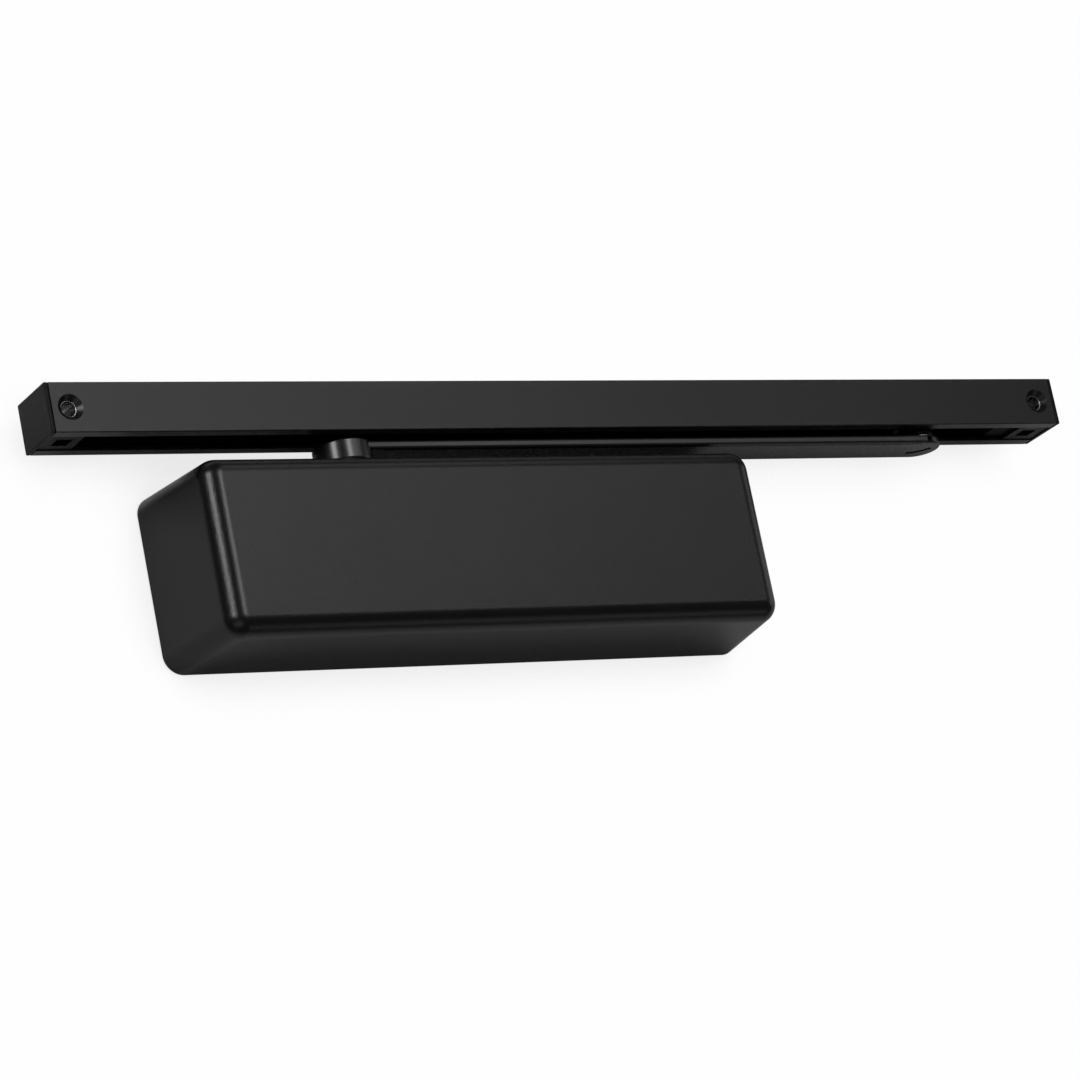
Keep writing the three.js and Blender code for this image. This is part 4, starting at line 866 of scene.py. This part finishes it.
def make_clip(side):
    """A spring clip on a lug, whose leg runs along the inside of the cover's end."""
    thickness, half_width, foot_y, wall_gap = 1.2, 8, -10.9, 0.5
    foot_inside, foot_outside, leg_start, leg_end = 139.8, 146.2, -16.3, -34

    def wall(y):
        inside = COVER_LENGTH / 2 + y * COVER_END_DRAFT / COVER_DEPTH - COVER_WALL
        return inside - wall_gap - thickness / 2

    path = [(side * foot_inside, foot_y), (side * foot_outside, foot_y),
            (side * wall(leg_start), leg_start), (side * wall(leg_end), leg_end),
            (side * (wall(leg_end) - 2.2), leg_end - 2.6)]
    obj = folded_strip("clip", path, thickness, 1.2, -half_width, half_width)
    cut(obj, rod("hole", "y", CLIP_SCREW_HOLE, -20, -5, (side * CLIP_X, 0, 0), 32))
    return soften(obj, 0.22, 2, 45)


def make_clip_screw(side):
    tip, seat, brim, top = -3.4, -11.8, -12.9, -13.8
    core, thread, head, crown = 1.1, 1.5, 2.8, 1.9
    profile = [(0, tip), (core, tip - 0.1), (thread, tip - 0.9), (thread, seat), (head, seat),
               (head, brim), (crown, top), (0, top)]
    edges = [0, 0.1, 0.2, 0, 0.15, 0.5, 0.5, 0]
    x, slot_half, slot_width, slot_floor = side * CLIP_X, 1.7, 0.35, top + 0.9
    obj = revolve("screw", rounded(profile, edges, 4), (x, 0, 0), "y", 48)
    return cut(obj,
               box("slot_a", x - slot_half, x + slot_half, top - 1, slot_floor, -slot_width, slot_width),
               box("slot_b", x - slot_width, x + slot_width, top - 1, slot_floor, -slot_half, slot_half))


for word, side in SIDES:
    dress(make_clip(side), "cover_clip_" + word, 40)
    dress(make_clip_screw(side), "clip_screw_" + word)

# ---- end plugs, seals and adjuster


def plug_profile(side, bore):
    inside, groove_low, groove_high, shoulder, outside = 122, 126.7, 129.3, 136.3, 139
    groove_radius, flange = BORE_FIT - 2.4, 19.6
    profile = [(bore, inside), (BORE_FIT - 0.9, inside), (BORE_FIT, inside + 0.9),
               (BORE_FIT, groove_low), (groove_radius, groove_low), (groove_radius, groove_high),
               (BORE_FIT, groove_high), (BORE_FIT, shoulder), (flange, shoulder),
               (flange, outside - 0.8), (flange - 0.8, outside), (bore, outside)]
    edges = [0, 0.3, 0.3, 0.15, 0.25, 0.25, 0.15, 0.1, 0.2, 0.3, 0.3, 0]
    return [(radius, side * x) for radius, x in rounded(profile, edges, 3)]


def make_left_plug():
    obj = revolve("plug", plug_profile(-1, 0), ON_BORE, "x", 96)
    socket_radius, socket_floor = 7, -132
    return cut(obj, extrude("socket", polygon(6, socket_radius, AXIS_Y, 0), "x", -140, socket_floor))


def make_right_plug():
    adjuster_hole, spanner_hole, spanner_z, hole_floor = 4.3, 2, 14, 135
    obj = revolve("plug", plug_profile(1, adjuster_hole), ON_BORE, "x", 96, closed=True)
    return cut(obj, *[rod("spanner_hole", "x", spanner_hole, hole_floor, 141, (0, AXIS_Y, z), 32)
                      for z in (-spanner_z, spanner_z)])


def make_plug_seal(side):
    x, ring_radius, cord_radius, steps = side * 128, 17.45, 0.95, 96
    turns = [2 * math.pi * k / steps for k in range(steps)]
    path = [(x, AXIS_Y + ring_radius * math.cos(t), ring_radius * math.sin(t)) for t in turns]
    return tube("seal", path, cord_radius, 16, closed=True)


def make_adjuster():
    """A hexagon head on a rod with a fine thread, whose ridges are turned rings."""
    radius, thread_depth, pitch, low, high = 4.0, 0.45, 1.25, 84, 139.6
    head_radius, head_low, head_high = 6.4, 139.3, 143.3
    profile = [(0, low)]
    station = low
    while station + pitch <= high:
        profile += [(radius - thread_depth, station), (radius, station + pitch * 0.4),
                    (radius, station + pitch * 0.6)]
        station += pitch
    profile += [(radius - thread_depth, high), (0, high)]
    obj = revolve("adjuster", profile, ON_BORE, "x", 48)
    head = extrude("hex", polygon(6, head_radius, AXIS_Y, 0), "x", head_low, head_high)
    return unite(obj, soften(head, 0.4, 3, 40))


dress(make_left_plug(), "end_plug_left", 35)
dress(make_right_plug(), "end_plug_right", 35)
for word, side in SIDES:
    dress(make_plug_seal(side), "plug_seal_" + word)
dress(make_adjuster(), "power_adjuster", 30)
dress(ring("seat", "x", inner=4.3, outer=BORE_FIT, low=97, high=102, edge=0.5, centre=ON_BORE,
           segments=96), "spring_seat")

# ---- spindle and the stack round it


def stack_ring(name, side, near, far, edge, segments=80):
    """A plain ring round the spindle, between two distances from the closer's middle."""
    low, high = sorted((side * near, side * far))
    return ring(name, "z", SHAFT_BORE, BOSS_FIT, low, high, edge, AT_SPINDLE, segments)


def make_bearing(side):
    near, far, waist, waist_step = 16.3, 29.0, 13.6, 5.0
    low, high = sorted((side * near, side * far))
    race = [(SHAFT_BORE, low), (BOSS_FIT, low), (BOSS_FIT, low + waist_step - 0.4),
            (waist, low + waist_step), (waist, high - waist_step),
            (BOSS_FIT, high - waist_step + 0.4), (BOSS_FIT, high), (SHAFT_BORE, high)]
    edges = [0.3, 0.6, 0.2, 0.2, 0.2, 0.2, 0.6, 0.3]
    return revolve("bearing", rounded(race, edges, 3), AT_SPINDLE, segments=96, closed=True)


def make_bearing_cap(side):
    near, far, notches, notch_radius, notch_ring, notch_floor = 33.3, 38.8, 4, 1.4, 11.5, 36
    cap = stack_ring("cap", side, near, far, 0.5, 96)
    cutters = []
    for k in range(notches):
        t = (k + 0.5) * 2 * math.pi / notches
        at = (SPINDLE_X + notch_ring * math.cos(t), AXIS_Y + notch_ring * math.sin(t), 0)
        cutters.append(rod("notch", "z", notch_radius, *sorted((side * notch_floor, side * 42)), at, 24))
    return cut(cap, *cutters)


for word, side in (("upper", 1), ("lower", -1)):
    dress(stack_ring("washer", side, near=14.5, far=16.0, edge=0.25), "thrust_washer_" + word)
    dress(stack_ring("seal", side, near=29.3, far=33.0, edge=0.6), "shaft_seal_" + word)
    dress(make_bearing(side), "bearing_" + word)
    dress(make_bearing_cap(side), "bearing_cap_" + word)


def gear_outline():
    """Involute teeth; a tooth space faces the rack."""
    base = PITCH_RADIUS * math.cos(TOOTH_PRESSURE)
    root, tip = PITCH_RADIUS - 1.25 * TOOTH_MODULE, PITCH_RADIUS + 0.95 * TOOTH_MODULE
    root_widening, flank_steps = 0.02, 6

    def half(radius):
        """Half a tooth's angle at a radius."""
        turn = math.acos(min(1.0, base / radius))
        at_pitch = (math.pi * TOOTH_MODULE / 2 - TOOTH_BACKLASH) / 2 / PITCH_RADIUS
        return at_pitch + math.tan(TOOTH_PRESSURE) - TOOTH_PRESSURE - (math.tan(turn) - turn)

    flank = [base + (tip - base) * k / flank_steps for k in range(flank_steps + 1)]
    points = []
    for tooth in range(TEETH):
        middle = -math.pi / 2 + (tooth + 0.5) * 2 * math.pi / TEETH
        side_a = [(root, -half(base) - root_widening)] + [(r, -half(r)) for r in flank]
        for r, t in side_a + [(r, -t) for r, t in reversed(side_a)]:
            points.append((SPINDLE_X + r * math.cos(middle + t), AXIS_Y + r * math.sin(middle + t)))
    return points


def make_pinion():
    end, shaft, shoulder, waist, shoulder_z, waist_z = 39, 8.4, 11.5, 8.2, 14.2, 10
    upper = [(waist, waist_z), (shoulder, waist_z), (shoulder, shoulder_z), (shaft, shoulder_z),
             (shaft, end), (0, end)]
    upper_edges = [0.2, 0.3, 0.4, 0.3, 0.5, 0]
    profile = [(r, -z) for r, z in upper[::-1]] + upper
    obj = revolve("pinion", rounded(profile, upper_edges[::-1] + upper_edges, 3),
                  AT_SPINDLE, segments=80)
    gear = soften(extrude("gear", gear_outline(), "z", -TOOTH_HALF_WIDTH, TOOTH_HALF_WIDTH), 0.16, 2, 50)
    half, square_root, square_top, square_bottom = 5.8, 37.5, 51.9, -40.4
    square = rounded(rectangle(SPINDLE_X - half, SPINDLE_X + half, AXIS_Y - half, AXIS_Y + half), 0.7, 4)
    ends = [soften(extrude("square", square, "z", low, high), 0.4, 3, 50)
            for low, high in ((square_root, square_top), (square_bottom, -square_root))]
    unite(obj, gear, *ends)
    tapped_radius, tapped_floor = 3.3, 34
    return cut(obj, rod("tapped_hole", "z", tapped_radius, tapped_floor, 54, AT_SPINDLE, 40))


dress(make_pinion(), "pinion", 32)

# ---- piston, spring and check valve


def rack_teeth(slot_half):
    """The piston's rack: teeth on the front wall of its slot, which the pinion rolls on."""
    pitch = math.pi * TOOTH_MODULE
    line = AXIS_Y - PITCH_RADIUS - 0.15
    rise, drop = AXIS_Y - slot_half - 0.5 - line, 0.85 * TOOTH_MODULE
    half = (pitch / 2 - TOOTH_BACKLASH) / 2
    slope = math.tan(TOOTH_PRESSURE)
    root, tip = half - rise * slope, half - drop * slope
    teeth = []
    for i in range(-7, 2):
        x = SPINDLE_X + i * pitch
        outline = rounded([(x - root, line + rise), (x + root, line + rise), (x + tip, line + drop),
                           (x - tip, line + drop)], [0, 0, 0.15, 0.15], 2)
        teeth.append(extrude("tooth", outline, "z", -TOOTH_HALF_WIDTH, TOOTH_HALF_WIDTH))
    return teeth


def make_piston():
    left, right, chamfer = -121.2, -24, 1
    groove_left, groove_right, groove_radius = -113, -109.2, 18.3
    profile = [(0, left), (BORE_FIT - chamfer, left), (BORE_FIT, left + chamfer),
               (BORE_FIT, groove_left), (groove_radius, groove_left + 0.4),
               (groove_radius, groove_right - 0.4), (BORE_FIT, groove_right),
               (BORE_FIT, right - chamfer), (BORE_FIT - chamfer, right), (0, right)]
    edges = [0, 0.3, 0.3, 0.1, 0.2, 0.2, 0.1, 0.3, 0.3, 0]
    obj = revolve("piston", rounded(profile, edges, 2), ON_BORE, "x", 112)
    slot_left, slot_right, slot_half = -102.3, -45.3, 12.9
    cut(obj, box("slot", slot_left, slot_right, AXIS_Y - slot_half, AXIS_Y + slot_half, -25, 25),
        rod("pocket", "x", 9, right - 8, right + 4, ON_BORE, 64),
        rod("passage", "x", 1.6, -125, -100, CHECK_AXIS, 32),
        rod("ball_room", "x", 3.3, -125, -110.2, CHECK_AXIS, 40))
    return unite(obj, *rack_teeth(slot_half))


def make_ball():
    radius, x, steps = 3, -113.8, 24
    turns = [math.pi * k / steps for k in range(steps + 1)]
    profile = [(radius * math.sin(t), x - radius * math.cos(t)) for t in turns]
    return revolve("ball", profile, CHECK_AXIS, "x", 40)


def make_spring():
    """Ten even coils between the piston and the seat."""
    coils, steps, low, high, coil_radius, wire_radius = 10, 36, -21.0, 94.0, 14.6, 2.25
    path = []
    for k in range(coils * steps + 1):
        t = k / (coils * steps)
        angle = t * coils * 2 * math.pi
        path.append((low + (high - low) * t, AXIS_Y + coil_radius * math.cos(angle),
                     coil_radius * math.sin(angle)))
    return tube("spring", path, wire_radius, 16)


dress(make_piston(), "piston", 30)
dress(make_ball(), "check_ball", 60)
dress(ring("retainer", "x", inner=1.4, outer=3.0, low=-120.6, high=-117.4, edge=0.25,
           centre=CHECK_AXIS, segments=48), "ball_retainer")
dress(make_spring(), "closing_spring", 40)

# ---- regulating valves


def make_valve(x):
    """A needle valve: its tip meters the oil, and a seal sits in its groove."""
    point, radius, groove, tip, needle_end, groove_low, top = 1.1, 2.9, 2.4, 20.8, 25.4, 27.6, 35.2
    profile = [(0, tip), (point, tip), (radius, needle_end), (radius, groove_low),
               (groove, groove_low + 0.3), (groove, groove_low + 1.5), (radius, groove_low + 1.8),
               (radius, top - 0.6), (radius - 0.5, top), (0, top)]
    edges = [0, 0.3, 0.4, 0.1, 0.2, 0.2, 0.1, 0.2, 0.2, 0]
    obj = revolve("valve", rounded(profile, edges, 3), (x, AXIS_Y, 0), "z", 48)
    socket_radius, socket_floor = 1.5, 31.8
    hexagon = polygon(6, socket_radius, x, AXIS_Y)
    return cut(obj, extrude("socket", hexagon, "z", socket_floor, top + 1.8))


for word, x in VALVE_X.items():
    dress(make_valve(x), word + "_valve", 32)

# ---- camera, floor and light

scene = bpy.context.scene
scene.view_settings.view_transform = "Standard"
scene.view_settings.look = "None"
scene.view_settings.exposure = 0.0
scene.view_settings.gamma = 1.0


def make_camera():
    """The photo's viewpoint: below the closer, in front of it and to its left."""
    right = Vector((0.85710, -0.47860, -0.19057))
    up = Vector((0.019434, -0.339630, 0.940358))
    ahead = Vector((0.51478, 0.80969, 0.28180))
    data = bpy.data.cameras.new("camera")
    data.lens = 163.79
    data.sensor_width = 36.0
    data.clip_start = 0.05
    data.clip_end = 60.0
    camera = bpy.data.objects.new("camera", data)
    scene.collection.objects.link(camera)
    place = Matrix((right, up, -ahead)).transposed().to_4x4()
    place.translation = Vector((-1.165723, -1.923469, -0.651047))
    camera.matrix_world = place
    scene.camera = camera


make_camera()


def make_floor():
    """The pale table that the closer lies on, back down. It takes and gives light as paper does. The
    camera sees through it, because the arm swings past its plane, darkened by a painted contact shadow
    from ambient occlusion where the closer is near. It is clear to shadow rays and from behind."""
    half, y, left = 4000.0, 0.8, -262.0
    floor = new_object("floor", [(left, y, -half), (half, y, -half), (half, y, half), (left, y, half)],
                       [(0, 1, 2, 3)])
    material = bpy.data.materials.new("floor")
    graph = Graph(material)
    graph.tree.nodes.clear()
    path, geometry = graph.node("LightPath"), graph.node("NewGeometry")
    paper = graph.node("BsdfDiffuse", Color=(0.82, 0.82, 0.82, 1))
    occlusion = graph.node("AmbientOcclusion", Distance=0.035)
    occlusion.samples = 8
    # painted contact shadow: ambient occlusion darkens what the camera sees through the floor near the
    # closer
    painted_shadow = graph.node("MapRange", From_Min=0.35, From_Max=0.80, To_Min=0.78, To_Max=1.0)
    shadowed_view = graph.node("BsdfTransparent")
    graph.link(occlusion.outputs["AO"], painted_shadow.inputs["Value"])
    graph.link(painted_shadow.outputs["Result"], shadowed_view.inputs["Color"])
    seen = graph.mix_shaders(path.outputs["Is Camera Ray"], paper.outputs["BSDF"], shadowed_view.outputs["BSDF"])
    open_to = graph.math("MAXIMUM", geometry.outputs["Backfacing"], path.outputs["Is Shadow Ray"])
    clear = graph.node("BsdfTransparent")
    surface = graph.mix_shaders(open_to, seen, clear.outputs["BSDF"])
    graph.link(surface, graph.node("OutputMaterial").inputs["Surface"])
    floor.data.materials.append(material)
    if floor.data.polygons[0].normal.y > 0:
        floor.data.flip_normals()


make_floor()


def area_light(name, direction, distance, width, height, power):
    """A soft rectangular light that faces the closer from a direction."""
    data = bpy.data.lights.new(name, "AREA")
    data.shape = "RECTANGLE"
    data.size = width
    data.size_y = height
    data.energy = power
    lamp = bpy.data.objects.new(name, data)
    scene.collection.objects.link(lamp)
    away = Vector(direction).normalized()
    lamp.rotation_mode = "QUATERNION"
    lamp.rotation_quaternion = away.to_track_quat("Z", "Y")
    lamp.location = away * distance


area_light("left", (-0.785, -0.50, 0.36), 1.5, 0.36, 0.62, 5.6)
area_light("front", (0.0, -0.93, 0.36), 1.5, 0.36, 0.70, 4.2)
area_light("right", (0.335, -0.875, 0.34), 1.5, 0.72, 0.62, 1.5)
area_light("far_right", (0.68, -0.73, 0.30), 1.5, 0.30, 0.50, 0.3)
area_light("high", (0.41, -0.49, 0.766), 1.5, 0.42, 0.42, 0.5)
area_light("below", (0.50, -0.40, -0.76), 1.5, 0.60, 0.50, 0.35)
# these three light mostly the faces that the camera can't see: the back, the top and the right end
area_light("behind", (0.05, 0.80, 0.60), 1.8, 0.9, 0.7, 20.0)
area_light("above", (-0.20, 0.30, 0.93), 1.8, 1.0, 0.6, 9.0)
area_light("side", (0.97, -0.22, 0.10), 1.8, 0.8, 0.8, 1.4)
# a weak fill from near the camera's own direction
area_light("low_left", (-0.62, -0.60, -0.50), 1.8, 1.2, 0.8, 1.4)


def make_world():
    """A dim room as the closer sees it, and a white ground as the camera sees it."""
    world = bpy.data.worlds.new("world")
    scene.world = world
    graph = Graph(world)
    graph.tree.nodes.clear()
    path = graph.node("LightPath")
    room = graph.node("Background", Color=(1, 1, 1, 1), Strength=0.055)
    ground = graph.node("Background", Color=(0.992, 0.992, 0.992, 1))
    mixed = graph.mix_shaders(path.outputs["Is Camera Ray"], room.outputs["Background"],
                              ground.outputs["Background"])
    graph.link(mixed, graph.node("OutputWorld").inputs["Surface"])


make_world()
